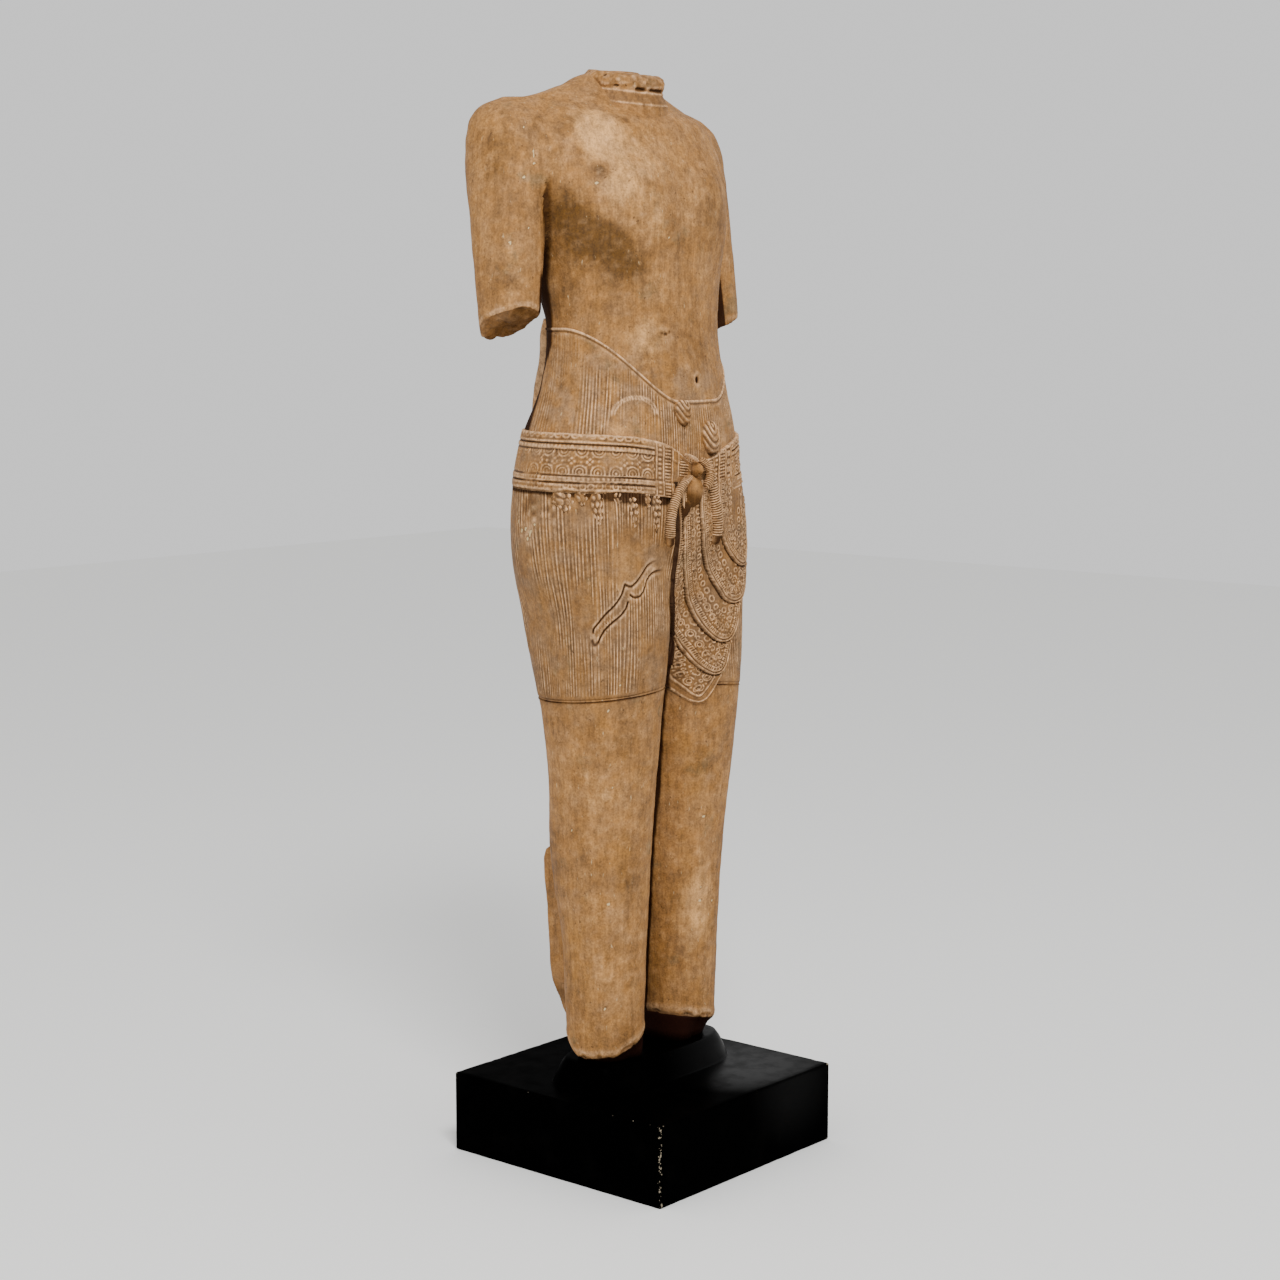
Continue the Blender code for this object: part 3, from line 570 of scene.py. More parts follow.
def waist_hem(angle):
    """Low in front and high at the sides. Formula: an eased rise, 20 to 95 degrees from its lowest place."""
    turned = np.abs(np.degrees(angle) - WAIST_HEM_TURN)
    return WAIST_HEM_FRONT + WAIST_HEM_RISE * ease((turned - 20.0) / 75.0)


def dip(angle, right_width, left_width):
    """Formula: 1 over (1 + (degrees / width) squared), faded out towards the back."""
    width = np.where(angle < 0, right_width, left_width)
    return (1 + np.cos(angle)) / 2 / (1 + (np.degrees(angle) / width) ** 2)


def belt_top(angle):
    """The belt's upper edge: level, with a narrow dip in front."""
    return BELT_SIDE_TOP - BELT_TOP_DIP * dip(angle, 23.0, 48.0)


def belt_bottom(angle):
    """The belt's lower edge: level, with a wide shallow dip in front."""
    return BELT_SIDE_BOTTOM - BELT_BOTTOM_DIP * dip(angle, 40.0, 80.0)


def leg_hem(angle, side):
    """The height of a thigh cloth's lower edge. Formula: one slow wave round the leg."""
    if side < 0:
        return LEG_HEM_RIGHT + 0.0065 * np.cos(angle - math.radians(50))
    return LEG_HEM_LEFT + 0.01 * np.cos(angle + math.radians(50))


# %% Distance to a line through a few places
def smooth_path(points, count):
    """A curve through a few places at even steps. Formula: a cubic Hermite curve of the running length."""
    data = np.array(points, float)
    steps = length_along(data)
    table = np.column_stack([steps, data])
    return np.stack(measures(table, np.linspace(0, steps[-1], count)), -1)


def to_path(place, path):
    """Distance to a path of straight steps, and how far along it the nearest place lies."""
    best = np.full(place.shape[:-1], np.inf)
    run = np.zeros(best.shape)
    done = 0.0
    for here, there in zip(path[:-1], path[1:]):
        step = there - here
        length = np.linalg.norm(step)
        share = np.clip(((place - here) @ step) / length**2, 0, 1)
        away = np.linalg.norm(place - here - share[..., None] * step, axis=-1)
        run = np.where(away < best, done + share * length, run)
        best = np.minimum(best, away)
        done += length
    return best, run


# %% The bare trunk's skin
NAVEL = (0.0125, -0.067, 0.8775)
NAVEL_ANGLE = math.radians(8.5)
NIPPLES = [(-0.106, -0.03, 1.098), (0.106, -0.03, 1.098)]
CRACK_HEIGHT = 0.9285


def bare_details(place):
    """Navel, nipples and a crack. Formula: a narrow bump inwards, two low discs and a thin wavy groove.

    The second result is how dark each place is painted: shade in the navel's hole and in the crack, and a
    smudge of dark wash round the nipples.
    """
    x, y, z = np.moveaxis(place, -1, 0)
    navel = np.hypot(x - NAVEL[0], (z - NAVEL[2]) * 0.8)
    relief = -0.0045 * bump(navel, 0.0, 0.0026) + 0.0005 * bump(navel, 0.0062, 0.0026)
    smudge = 0 * x
    spotty = patches(place, 0.006, 14, 0.25, 0.3)
    for nipple in NIPPLES:
        away = np.linalg.norm(place - nipple, axis=-1)
        relief = relief + 0.0007 * (1 - ease((away - 0.003) / 0.006)) + 0.0005 * bump(away, 0.0, 0.0018)
        smudge = np.maximum(smudge, 0.5 * bump(away, 0.003, 0.0036) * spotty)
    wave = CRACK_HEIGHT + 0.0008 * np.sin(x * 700)
    crack = bump(z, wave, 0.0009) * ease((-0.018 - x) / 0.004) * ease((x + 0.04) / 0.004) * (y < 0.02)
    return relief - 0.0008 * crack, np.maximum(1 - ease((navel - 0.0022) / 0.0014) + crack, smudge)


# Height, and the bearing in degrees where the painted shade of the slit behind each arm begins on the trunk
ARM_SLIT = np.array([(0.885, 103.0), (0.915, 94.0), (0.985, 91.0), (1.027, 84.5), (1.082, 77.5),
                     (1.105, 77.0)])
# The crease where arm and trunk part, as y and z
CREASE = np.array([(0.004, 1.106), (0.011, 1.082), (0.0165, 1.055), (0.0215, 1.027), (0.0324, 0.985),
                   (0.037, 0.955)])


def flank_shade(angle, height):
    """Painted shade in the slit between arm and flank. Formula: a band behind a bearing, fading further back.
    """
    turned = np.abs(np.degrees(angle))
    starts = np.interp(height, *ARM_SLIT.T)
    band = ease((turned - starts) / 3.0) * (1 - ease((turned - starts - 16.0) / 16.0))
    return 0.95 * band * ease((1.112 - height) / 0.02)


def crease_shade(place):
    """Painted shade along the crease where arm meets flank. Formula: a bump of the distance to it, seen from
    the side.

    It stays between the flank and the arm's outer half, and fades out towards the shoulder.
    """
    away, _ = to_path(place[..., 1:], CREASE)
    near_body = (np.abs(place[..., 0]) > 0.11) & (np.abs(place[..., 0]) < 0.147)
    return 0.85 * bump(away, 0.0, 0.0032) * ease((1.1 - place[..., 2]) / 0.02) * near_body


BARE_COLUMNS = 264
angles = around(BARE_COLUMNS, (NAVEL_ANGLE, 0.1, 1.6))
shares = spread(0.0, 1.0, 48, (0.235, 0.09, 1.4))[:, None]
low_rows = between(waist_hem(angles) - 0.004, LEVEL, shares)
high_rows = even_heights(TRUNK, LEVEL, TRUNK[-1, 0], 128)[1:, None] + np.zeros(BARE_COLUMNS)
start, along = level_rays(TRUNK, 0, angles, np.concatenate([low_rows, high_rows]))
bare_grid = limb_skin(trunk_only, arms_only, upper_body, start, along)
details, dark = bare_details(bare_grid)
chip = chipped(bare_grid)
relief = weather(bare_grid) + details - CHIP_DEPTH * chip
# Painted shade in the slit behind each arm and along the crease where arm and trunk part
slit = np.maximum(flank_shade(angles, bare_grid[..., 2]), crease_shade(bare_grid))
plaster("bare_trunk", bare_grid, relief, 0.001, 2, chip, np.clip(dark + slit, 0, 1))

# %% [markdown]
# ## The upper arms
# Each arm is an oval tube that grows out of the shoulder and is broken off above the elbow. Up to the
# armpit its rows are level; above that the rays fan out from one place inside the shoulder, like the
# upper half of a globe, so that the rounded top needs no seam. The break is a tilted rough plane.

# %% The arms' skins and their broken ends
ARM_COLUMNS = 150
ARM_SPINE_TOP = 1.115
# The height of each arm's break at its middle, and the broken face's rings as shares of the rim
ARM_BREAKS = {-1: 0.943, 1: 0.931}
BREAK_SHARES = np.array([0.08, 0.2, 0.32, 0.44, 0.56, 0.67, 0.77, 0.86, 0.93, 0.975])


def arm_break(x, y, side):
    """The break's plane. Formula: higher by 0.4 of the way outwards and 0.33 of the way forwards."""
    return ARM_BREAKS[side] + 0.4 * (side * x - 0.172) - 0.33 * (y - 0.038)


# Bearing in degrees and height of the right arm's uneven rim
RIGHT_RIM = np.array([(-180, 0.922), (-150, 0.926), (-125, 0.936), (-111, 0.9405), (-88, 0.9445),
                      (-65, 0.949), (-42, 0.952), (-22, 0.9555), (-8, 0.955), (5, 0.953), (25, 0.951),
                      (50, 0.948), (90, 0.938), (130, 0.926), (180, 0.922)])


def arm_rim(angle, side):
    """The rim's height: the right arm's from its table, the left's where its skin meets the plane."""
    if side < 0:
        return np.interp(np.degrees(angle), *RIGHT_RIM.T)
    height = np.full(angle.shape, ARM_BREAKS[side])
    for _ in range(8):
        centre = measures(ARM, height)
        length = reach(ARM, height, np.sin(angle), np.cos(angle))
        x, y = side * centre[0] + length * np.sin(angle), centre[1] - length * np.cos(angle)
        height = arm_break(x, y, side)
    return height


def make_arm(side, name):
    """An upper arm: the broken face's rings, level rows up to its spine's top, and a dome of rays."""
    def own(place):
        return outside(ARM, place, side)

    angle = around(ARM_COLUMNS)
    ring = np.stack([np.sin(angle), np.cos(angle), 0 * angle], -1)
    rim = arm_rim(angle, side) + 0.0024 * centred(ring, 0.3, 8) + 0.0012 * centred(ring, 0.09, 7)
    shares = np.concatenate([[0, 0.012], np.linspace(0.03, 1, 72)])[:, None]
    start, along = level_rays(ARM, side, angle, between(rim, ARM_SPINE_TOP, shares))
    lift = np.linspace(0, math.pi / 2, 36)[1:-1, None]
    _, level = level_rays(ARM, side, angle, ARM_SPINE_TOP + 0 * lift)
    dome = level * np.cos(lift)[..., None] + np.array([0, 0, 1]) * np.sin(lift)[..., None]
    start = np.concatenate([start, np.broadcast_to(start[-1], dome.shape)])
    body = limb_skin(own, trunk_only, upper_body, start, np.concatenate([along, dome]))
    centre = body[0].mean(axis=0)
    face = centre + BREAK_SHARES[:, None, None] * (body[0] - centre)
    hidden = 1 - BREAK_SHARES[:, None] ** 4
    rough = 0.008 * centred(face, 0.017, 9) + 0.0035 * centred(face, 0.006, 10)
    facet = side * (face[..., 0] - centre[0]) - 0.4 * (face[..., 1] - centre[1]) - 0.01
    face[..., 2] += hidden * (0.45 * np.maximum(facet, 0) - rough - 0.002)
    grid = np.concatenate([face, body])
    broken = len(face)
    row = np.arange(len(grid))[:, None] + np.zeros(ARM_COLUMNS)
    chip = chipped(grid)
    relief = weather(grid) * (1 + 1.5 * (row < broken)) - CHIP_DEPTH * chip - 0.001 * bump(row, broken, 1.1)
    # Painted shade on the inner side towards the trunk, in the gap behind the arm, along the crease and on
    # the broken face, which is painted lighter towards its outer side
    inner = ease((-side * np.sin(angle) + 0.05) / 0.35) * (1 - ease((grid[..., 2] - 1.04) / 0.05))
    deep = 0.85 * inner * ease((0.93 - np.cos(angle)) / 0.25)
    lit = ease(side * (grid[..., 0] - centre[0]) / 0.012 - 0.6)
    gap = ease((-side * np.degrees(angle) - 18.5) / 2.5) * ease((0.998 - grid[..., 2]) / 0.012)
    deep = np.maximum(deep, 0.95 * gap * ease((160 - np.abs(np.degrees(angle))) / 20))
    deep = np.maximum(deep, crease_shade(grid))
    deep[:broken] = between(0.62, 0.3, lit[:broken])
    pale = 0.5 * bump(row, broken + 1.2, 1.0) * patches(grid, 0.012, 53, 0.35, 0.3)
    return plaster(name, grid, relief, 0.001, 2, chip, deep, wear_and_highlight=pale)


make_arm(-1, "right_arm")
make_arm(1, "left_arm")

# %% [markdown]
# ## The neck stump
# The head is lost. What stays is a short neck with the throat's two rolls and a rough broken top. It is
# turned like a pot: one profile of heights and radii carried round, leaning forward a little.

# %% The neck stump's skin
NECK_PROFILE = np.array([
    (1.15, 0.06), (1.155, 0.064), (1.16, 0.0592), (1.168, 0.0552), (1.1785, 0.0528), (1.1805, 0.0536),
    (1.1825, 0.0518), (1.1912, 0.0458), (1.1927, 0.0467), (1.194, 0.045), (1.1975, 0.0459),
    (1.2035, 0.0464), (1.208, 0.0442), (1.2105, 0.04),
])
NECK_COLUMNS = 170
NECK_ROWS = 66
NECK_CENTRE_Y, NECK_CENTRE_HEIGHT, NECK_LEAN, NECK_TILT = 0.032, 1.178, 0.15, 0.14

angles = around(NECK_COLUMNS)
side_line = running(np.hypot(*np.diff(NECK_PROFILE, axis=0).T))
steps = np.linspace(0, side_line[-1], NECK_ROWS)
height, radius = (np.interp(steps, side_line, column) for column in NECK_PROFILE.T)
lid = np.array([0.94, 0.86, 0.76, 0.65, 0.53, 0.41, 0.29, 0.17, 0.07])
height = np.concatenate([height, np.full(len(lid), height[-1] + 0.0006)])[:, None]
plain = np.interp(height, (1.15, 1.1805, 1.205, 1.2105), (0.06, 0.0528, 0.0462, 0.04))
plain[-len(lid):, 0] *= lid
radius = np.concatenate([radius, lid * radius[-1]])[:, None]
crisp = ease((np.degrees(angles) + 128) / 60) * (1 - 0.5 * ease((np.abs(np.degrees(angles)) - 100) / 30))
radius = between(plain, radius, crisp)
centre_y = NECK_CENTRE_Y - NECK_LEAN * (height - NECK_CENTRE_HEIGHT)
y = centre_y - radius * 0.95 * np.cos(angles)
neck_grid = np.stack([radius * np.sin(angles), y, height + NECK_TILT * (y - centre_y)], -1)
top = ease((height - 1.1945) / 0.003)
crumble = 0.002 * centred(neck_grid, 0.009, 11) + 0.0014 * centred(neck_grid, 0.0035, 12)
pits = patches(neck_grid, 0.006, 13, 0.74, 0.08) * top
under = patches(neck_grid, 0.01, 15, 0.45, 0.12) * bump(height, 1.1958, 0.0018)
under = under * ease((angles + 0.9) / 0.3)
lip = -0.001 * patches(neck_grid, 0.014, 14, 0.55, 0.2) * bump(height, 1.1805, 0.003)
relief = weather(neck_grid) + top * crumble - 0.0022 * pits + lip - 0.0022 * under
# The ridge lines are made paler; painted shade lies on the band between them, in the pits and in the cuts
# under the broken top
lines = (bump(height, 1.1927, 0.0011) + bump(height, 1.1807, 0.0012)) * crisp
band = inside(height, 1.1822, 1.1912, 0.002) * crisp
dark = np.clip(0.5 * pits + 0.8 * under, 0, 1)
plaster("neck", neck_grid, relief, 0.001, 3, deep=dark, painted_shade=0.55 * band, wear_and_highlight=0.8 * lines)

# %% [markdown]
# ## Pleats
# The hip cloth is carved in fine upright pleats, a ridge every four or five millimetres, worn away where
# hands and cloths have rubbed. Each pleat has a number that grows with the way round the body, and the
# relief is a cosine of that number. The numbers wander a little with height, so no line is ruled straight.

# %% How the pleats run and where they are worn
PLEAT_PITCH = 0.0038
PLEAT_PITCH_BEHIND = 0.0056
PLEAT_DEPTH = 0.0008


def pleats(way, place, seed):
    """Formula: a cosine of the pleat's number, which fades where noise says that the cloth is worn smooth."""
    pitch = between(PLEAT_PITCH, PLEAT_PITCH_BEHIND, ease((place[place.shape[0] // 2, :, 1] - 0.02) / 0.04))
    number = np.cumsum(np.gradient(way) / pitch) + 0 * place[..., 2]
    number = number + 0.9 * noise(np.stack([number * 0.4, place[..., 2] / 0.09, 0 * number], -1), 1.0, seed)
    wave = 0.5 + 0.5 * np.cos(math.tau * number)
    own = noise(np.stack([np.floor(number + 0.5), place[..., 2] / 0.034, 0 * number], -1), 1.0, seed + 1)
    wear = patches(place * (1.0, 1.0, 0.42), 0.024, seed + 2, 0.3, 0.3)
    return PLEAT_DEPTH * (wave**2.2 - 0.6) * (0.25 + 0.95 * ease((own - 0.28) / 0.4)) * wear


# %% [markdown]
# ## The hip cloth above the belt
# Between the belt and the waist the cloth lies tight on the body. Its upper edge is a thin roll. On the
# right hip two fine raised lines make an arc, the edge of a fold.

# %% The upper cloth's skin
UPPER_COLUMNS = 780
UPPER_ROWS = 50
ARC_MIDDLE, ARC_HALF, ARC_FOOT, ARC_RISE = -0.087, 0.0285, 0.8425, 0.0185

angles = around(UPPER_COLUMNS, (-0.9, 0.75, 0.8))
shares = spread(0.0, 1.0, UPPER_ROWS, (0.97, 0.05, 2.0))[:, None]
low_edge, high_edge = belt_top(angles) - 0.006, waist_hem(angles) + 0.0012
upper_grid = on_trunk(angles, between(low_edge, high_edge, shares))
way = length_along(upper_grid[UPPER_ROWS // 2])
under_hem = waist_hem(angles) - upper_grid[..., 2]
roll = HEM_ROLL * bump(under_hem, 0.001, 0.0011) - 0.0006 * bump(under_hem, 0.0036, 0.0011)
front_way = np.interp(0.0, angles, way)
across, up = way - front_way - ARC_MIDDLE, upper_grid[..., 2] - ARC_FOOT
ring = np.hypot(across / ARC_HALF, np.maximum(up, 0) / ARC_RISE)
arc = (bump(ring, 1.0, 0.045) + 0.8 * bump(ring, 0.87, 0.04)) * ease(up / 0.004 + 0.6)
calm = (1 - 0.7 * (ring < 0.8)) * ease((under_hem - 0.005) / 0.004) * ease((under_hem - 0.002) / 0.02 + 0.3)
fold = pleats(way, upper_grid, 20) * calm * (1 - 0.6 * ease((-70 - np.degrees(angles)) / 12))
relief = 0.0007 + roll + fold + 0.0009 * arc + 0.5 * weather(upper_grid)
relief = np.where(shares > 0.995, -0.003, relief)
# A painted highlight in patches along the hem's roll, and painted shade in the slit behind the arm
lit = 0.8 * bump(under_hem, 0.001, 0.0009) * patches(upper_grid, 0.012, 23, 0.2, 0.3)
side = flank_shade(angles, upper_grid[..., 2])
chip = 0.35 * chipped(upper_grid)
plaster("upper_cloth", upper_grid, relief, 0.0005, 3, chip, side, wear_and_highlight=np.maximum(lit, 0.8 * arc))

# %% [markdown]
# ## The belt
# A broad belt holds the cloth. Its carving runs in bands: a row of scallops, a cord, fine beads, a field of
# half florets that hang from above and stand on the line below, and two more rows of beads. The relief is a
# function of two distances: how far up the belt, and how far round it. Near the knot the bands end in
# upright columns of dashes and beads.

# %% The belt's skin
BELT_COLUMNS = 850
BELT_ROWS = 70
BELT_PROUD = 0.0032
FLORET_PITCH = 0.0186
CARVED = 0.0014
# Shares of the belt's height: the field of florets, and the middle of each band above and below it
FIELD_LOW, FIELD_HIGH = 0.317, 0.735
BELT_SHARE = np.array([-0.015, 0.0, 0.05, 0.13, 0.27, 0.3, 0.72, 0.75, 0.99, 1.01])
BELT_THICK = np.array([-0.6, 0.85, 0.95, 1.1, 1.05, 0.75, 0.75, 1.0, 0.95, -0.4])


def floret(across, up):
    """A half floret. Formula: ridges where the distance to its middle is 7.2 and 4 mm, and a dot."""
    away = np.hypot(across, up)
    return bump(away, 0.0072, 0.001) + 0.9 * bump(away, 0.0041, 0.0008) + bump(away, 0.0, 0.0015)


# Each line's share of the belt's height and its width, and for the grooves the share of their full depth
BELT_LINES = [(0.995, 0.002), (0.852, 0.0024), (0.742, 0.0014), (0.308, 0.0014), (0.198, 0.0016),
              (0.05, 0.0022)]
BELT_GROOVES = [(0.818, 0.0016, 1.0), (0.716, 0.001, 0.7), (0.284, 0.0012, 0.8), (0.166, 0.0018, 1.0),
                (0.015, 0.0014, 0.8)]


def belt_bands(share, way, high):
    """The repeating bands. Formula: beads and florets are bumps of the distance to a cell's middle."""
    up = share * high

    def rings(pitch, at, radius, width):
        """A row of rings, or of beads where the radius is 0, at a share of the belt's height."""
        return bump(np.hypot(cell(way, pitch), up - at * high), radius, width)

    across = cell(way, FLORET_PITCH)
    between_florets = cell(way + FLORET_PITCH / 2, FLORET_PITCH)
    field = floret(across, up - (FIELD_HIGH - 0.01) * high) + floret(across, up - (FIELD_LOW + 0.035) * high)
    middle = up - 0.53 * high
    star = np.hypot(between_florets, middle)
    petals = 0.6 + 0.4 * np.cos(4 * np.arctan2(between_florets, middle))
    field = field + petals * bump(star, 0.0026, 0.0013) + 0.8 * bump(np.hypot(across, middle), 0.0, 0.0012)
    small = np.hypot(np.abs(between_florets) - 0.003, np.abs(middle) - 0.0052)
    field = (field + 0.6 * bump(small, 0.0, 0.0011)) * inside(share, FIELD_LOW, FIELD_HIGH, 0.02)
    beads = rings(0.0048, 0.78, 0.0, 0.0015) + rings(0.005, 0.24, 0.0, 0.0015)
    large = 1.1 * rings(0.0086, 0.117, 0.0031, 0.0011) + 0.7 * rings(0.0086, 0.117, 0.0, 0.0012)
    scallops = rings(0.0098, 0.985, 0.0042, 0.0012) * inside(share, 0.87, 0.99, 0.02)
    lines = sum(line(up, at * high, wide) for at, wide in BELT_LINES)
    return field + beads + 0.7 * large + scallops + lines


def belt_grooves(share, high):
    """The cut lines between the bands, as a share of their full depth."""
    return sum(deep * line(share * high, at * high, wide) for at, wide, deep in BELT_GROOVES)


def belt_columns(share, way, high):
    """The upright columns beside the knot, and where they stand in place of the bands."""
    up = share * high
    dashes = bump(cell(up, 0.0036), 0.0, 0.001)
    beads = bump(cell(up, 0.005), 0.0, 0.0016)
    right = way < 0
    marks = 1.1 * line(way, -0.063, 0.0018) + line(way, -0.0535, 0.0016) + line(way, -0.0405, 0.0018)
    marks = marks + beads * bump(way, -0.0583, 0.002) + dashes * inside(way, -0.051, -0.0432, 0.002)
    ribs = bump(cell(up, 0.0029), 0.0, 0.0009) * inside(way, -0.029, -0.015, 0.002)
    ribs = ribs * inside(share, 0.24, 0.86, 0.06)
    marks = marks + 1.3 * ribs + 0.8 * line(way, -0.031, 0.0022)
    left = dashes * (inside(way, 0.018, 0.029, 0.002) + inside(way, 0.0455, 0.056, 0.002))
    left = left + beads * bump(way, 0.0375, 0.0024) + line(way, 0.0315, 0.0016) + line(way, 0.0435, 0.0016)
    squares = inside(cell(up, 0.0088), -0.003, 0.003, 0.0014) * inside(way, 0.062, 0.07, 0.0016)
    left = left + line(way, 0.059, 0.0016) + squares + line(way, 0.0735, 0.0018)
    bands_here = np.where(right, ease((-0.064 - way) / 0.002), ease((way - 0.0745) / 0.002))
    return np.where(right, marks, left), bands_here


angles = around(BELT_COLUMNS, (-0.75, 0.75, 0.9))
shares = np.concatenate([[-0.018, -0.008], np.linspace(0.0, 1.0, BELT_ROWS - 4), [1.008, 1.018]])[:, None]
belt_grid = on_trunk(angles, between(belt_bottom(angles), belt_top(angles), shares))
way = length_along(belt_grid[BELT_ROWS // 2])
way = way - np.interp(0.0, angles, way)
high = belt_top(angles) - belt_bottom(angles)
adrift = [0.0022 * centred(belt_grid, 0.013, seed) for seed in (34, 35)]
bands = belt_bands(shares + adrift[0] / high, way + adrift[1], high)
bands = bands * (0.45 + 0.75 * patches(belt_grid, 0.0075, 33, 0.28, 0.36))
columns, bands_here = belt_columns(shares, way, high)
wear = patches(belt_grid, 0.024, 30, 0.16, 0.34) * (0.35 + 0.65 * ease((way + 0.215) / 0.05))
wear = np.where(way > 0.02, 0.85, wear)
cut_here = 0.35 + 0.65 * patches(belt_grid, 0.03, 31, 0.25, 0.2)
grooves = belt_grooves(shares, high) * bands_here * cut_here
pattern = CARVED * ((bands * bands_here + 1.25 * columns * (1 - bands_here)) * wear - 1.1 * grooves)
thick = BELT_PROUD * np.interp(shares, BELT_SHARE, BELT_THICK)
relief = thick + pattern + 0.7 * weather(belt_grid)
relief = np.where((shares < -0.01) | (shares > 1.01), -0.002, relief)
# Painted shade in the cut lines and on the belt's underside
under_side = 0.9 * ease(-shares / 0.01 + 0.6)
plaster("belt", belt_grid, relief, 0.0005, 3, deep=np.maximum(0.7 * grooves, under_side))

# %% [markdown]
# ## The hip cloth on the thighs
# Below the belt the cloth wraps each thigh and ends above the knee in a thin rolled edge. Each skin is made
# of rays about its own leg, and stops at the plane between the legs, so the two meet there. The right
# thigh carries the loose end of a ribbon, cut into the stone as a wavy double line. A bumpy fringe hangs
# under the belt.

# %% The body's front at a place
def front_of(table, side, x, z):
    """The front y of a section at x. Formula: the superellipse solved for its depth, none past its side."""
    centre_x, centre_y, wide, front, _, power = measures(table, z)
    across = np.clip(np.abs(x - side * centre_x) / wide, 0, 1)
    y = centre_y - front * (1 - across**power) ** (1 / power)
    return np.where(across < 1, y, np.inf)


def front_y(x, z):
    """The body's front: the foremost of trunk and thighs."""
    x, z = np.broadcast_arrays(np.asarray(x, float), np.asarray(z, float))
    trunk = np.where(z > TRUNK[0, 0], front_of(TRUNK, 0, x, z), np.inf)
    legs = [np.where(z < LEG[-1, 0], front_of(LEG, side, x, z), np.inf) for side in (-1, 1)]
    return np.minimum(trunk, np.minimum(*legs))


def on_front(points):
    """Puts (x, z) places onto the body's front."""
    x, z = np.array(points, float).T
    return np.stack([x, front_y(x, z), z], -1)


# %% The thigh cloths' skins
MIDDLE_GAP = 0.0004
CLOTH_TOP = 0.778
# The ribbon's grooves: the upper one turns sharply half way, the lower one has a gap there
RIBBON_GROOVES = [
    [(-0.1253, 0.609), (-0.1251, 0.613), (-0.1229, 0.619), (-0.118, 0.6295), (-0.1118, 0.638),
     (-0.1054, 0.649), (-0.1012, 0.661)],
    [(-0.1012, 0.661), (-0.0978, 0.659), (-0.0947, 0.6585), (-0.0897, 0.6615), (-0.08, 0.671),
     (-0.0708, 0.68), (-0.0582, 0.684), (-0.0517, 0.684)],
    [(-0.1223, 0.598), (-0.1212, 0.6035), (-0.1176, 0.6135), (-0.1139, 0.619), (-0.1064, 0.627),
     (-0.1006, 0.6355), (-0.0983, 0.642)],
    [(-0.0959, 0.6495), (-0.0927, 0.647), (-0.0867, 0.6465), (-0.0766, 0.657), (-0.0747, 0.662),
     (-0.0645, 0.671), (-0.0576, 0.6725), (-0.0472, 0.673)],
]
RIBBON_END = [(-0.1255, 0.6), (-0.124, 0.5955), (-0.1223, 0.598)]
RIBBON_BARS = [(-0.1236, 0.604), (-0.1208, 0.613), (-0.115, 0.624), (-0.1085, 0.632)]


def thigh_rays(side, angle, height):
    """Level rays from a leg's middle, and how far each may go before it meets the plane between the legs."""
    start, along = level_rays(LEG, side, angle, height)
    inward = np.maximum(-side * along[..., 0], 1e-6)
    return start, along, np.minimum((side * start[..., 0] - MIDDLE_GAP) / inward, FAR)


def thigh_cloth(side, name, columns, rows, crowds, row_crowds):
    """The cloth on one thigh, from its hem to under the belt. Only the right one carries the ribbon."""
    angle = around(columns, *crowds)
    shares = spread(0.0, 1.0, rows, *row_crowds)[:, None]
    hem = leg_hem(angle, side)
    start, along, far = thigh_rays(side, angle, between(hem - 0.0012, CLOTH_TOP, shares))
    grid = start + along * way_out(lower_body, start, along, NEAR, far)[..., None]
    x, y, z = np.moveaxis(grid, -1, 0)
    over_hem = z - hem
    roll = 0.3 * HEM_ROLL * bump(over_hem, 0.0002, 0.001) - 0.0011 * bump(over_hem, 0.0018, 0.0013)
    way = length_along(grid[int(rows * 0.35)])
    calm = ease((over_hem - 0.004) / 0.006) * (0.25 + 0.75 * ease((side * x - 0.012) / 0.03))
    relief = 0.0007 + roll + pleats(way, grid, 40 + side) * calm + 0.5 * weather(grid)
    groove = np.zeros(grid.shape[:-1])
    if side < 0:
        groove, strip = ribbon(grid)
        relief = relief - 0.0019 * groove - strip
    at_wall = np.abs(x) < MIDDLE_GAP + 1e-5
    relief = np.where(at_wall, 0.0, np.where(shares < 0.003, -0.002, relief))
    under_belt = belt_bottom(angle) - z
    torn = inside(side * np.degrees(angle), 80, 112, 6) * ease((0.034 - under_belt) / 0.012) * (side < 0)
    relief = relief + torn * (0.0016 * (noise(grid, 0.007, 61) - 0.6) - 0.0004)
    chip = chipped(grid)
    # Painted shade between the legs, in the ribbon's grooves and in the cut over the hem, and a painted
    # shadow under the belt
    between_legs = (1 - ease((side * x) / 0.012)) * (1 - ease((-0.045 - y) / 0.02)) * (y < 0.02)
    cut = bump(over_hem, 0.0012, 0.0024) * (0.65 + 0.35 * patches(grid, 0.02, 62, 0.3, 0.2))
    shadow = 0.85 * (1 - ease((under_belt - 0.003) / 0.0024))
    deep = np.maximum(np.maximum(0.9 * between_legs, 0.85 * groove), np.maximum(cut, shadow))
    flat = -1.0 * inside(over_hem, -0.004, 0.0065, 0.002)
    return plaster(name, grid, relief - CHIP_DEPTH * chip, 0.0005, 3, chip, deep, wear_and_highlight=flat)


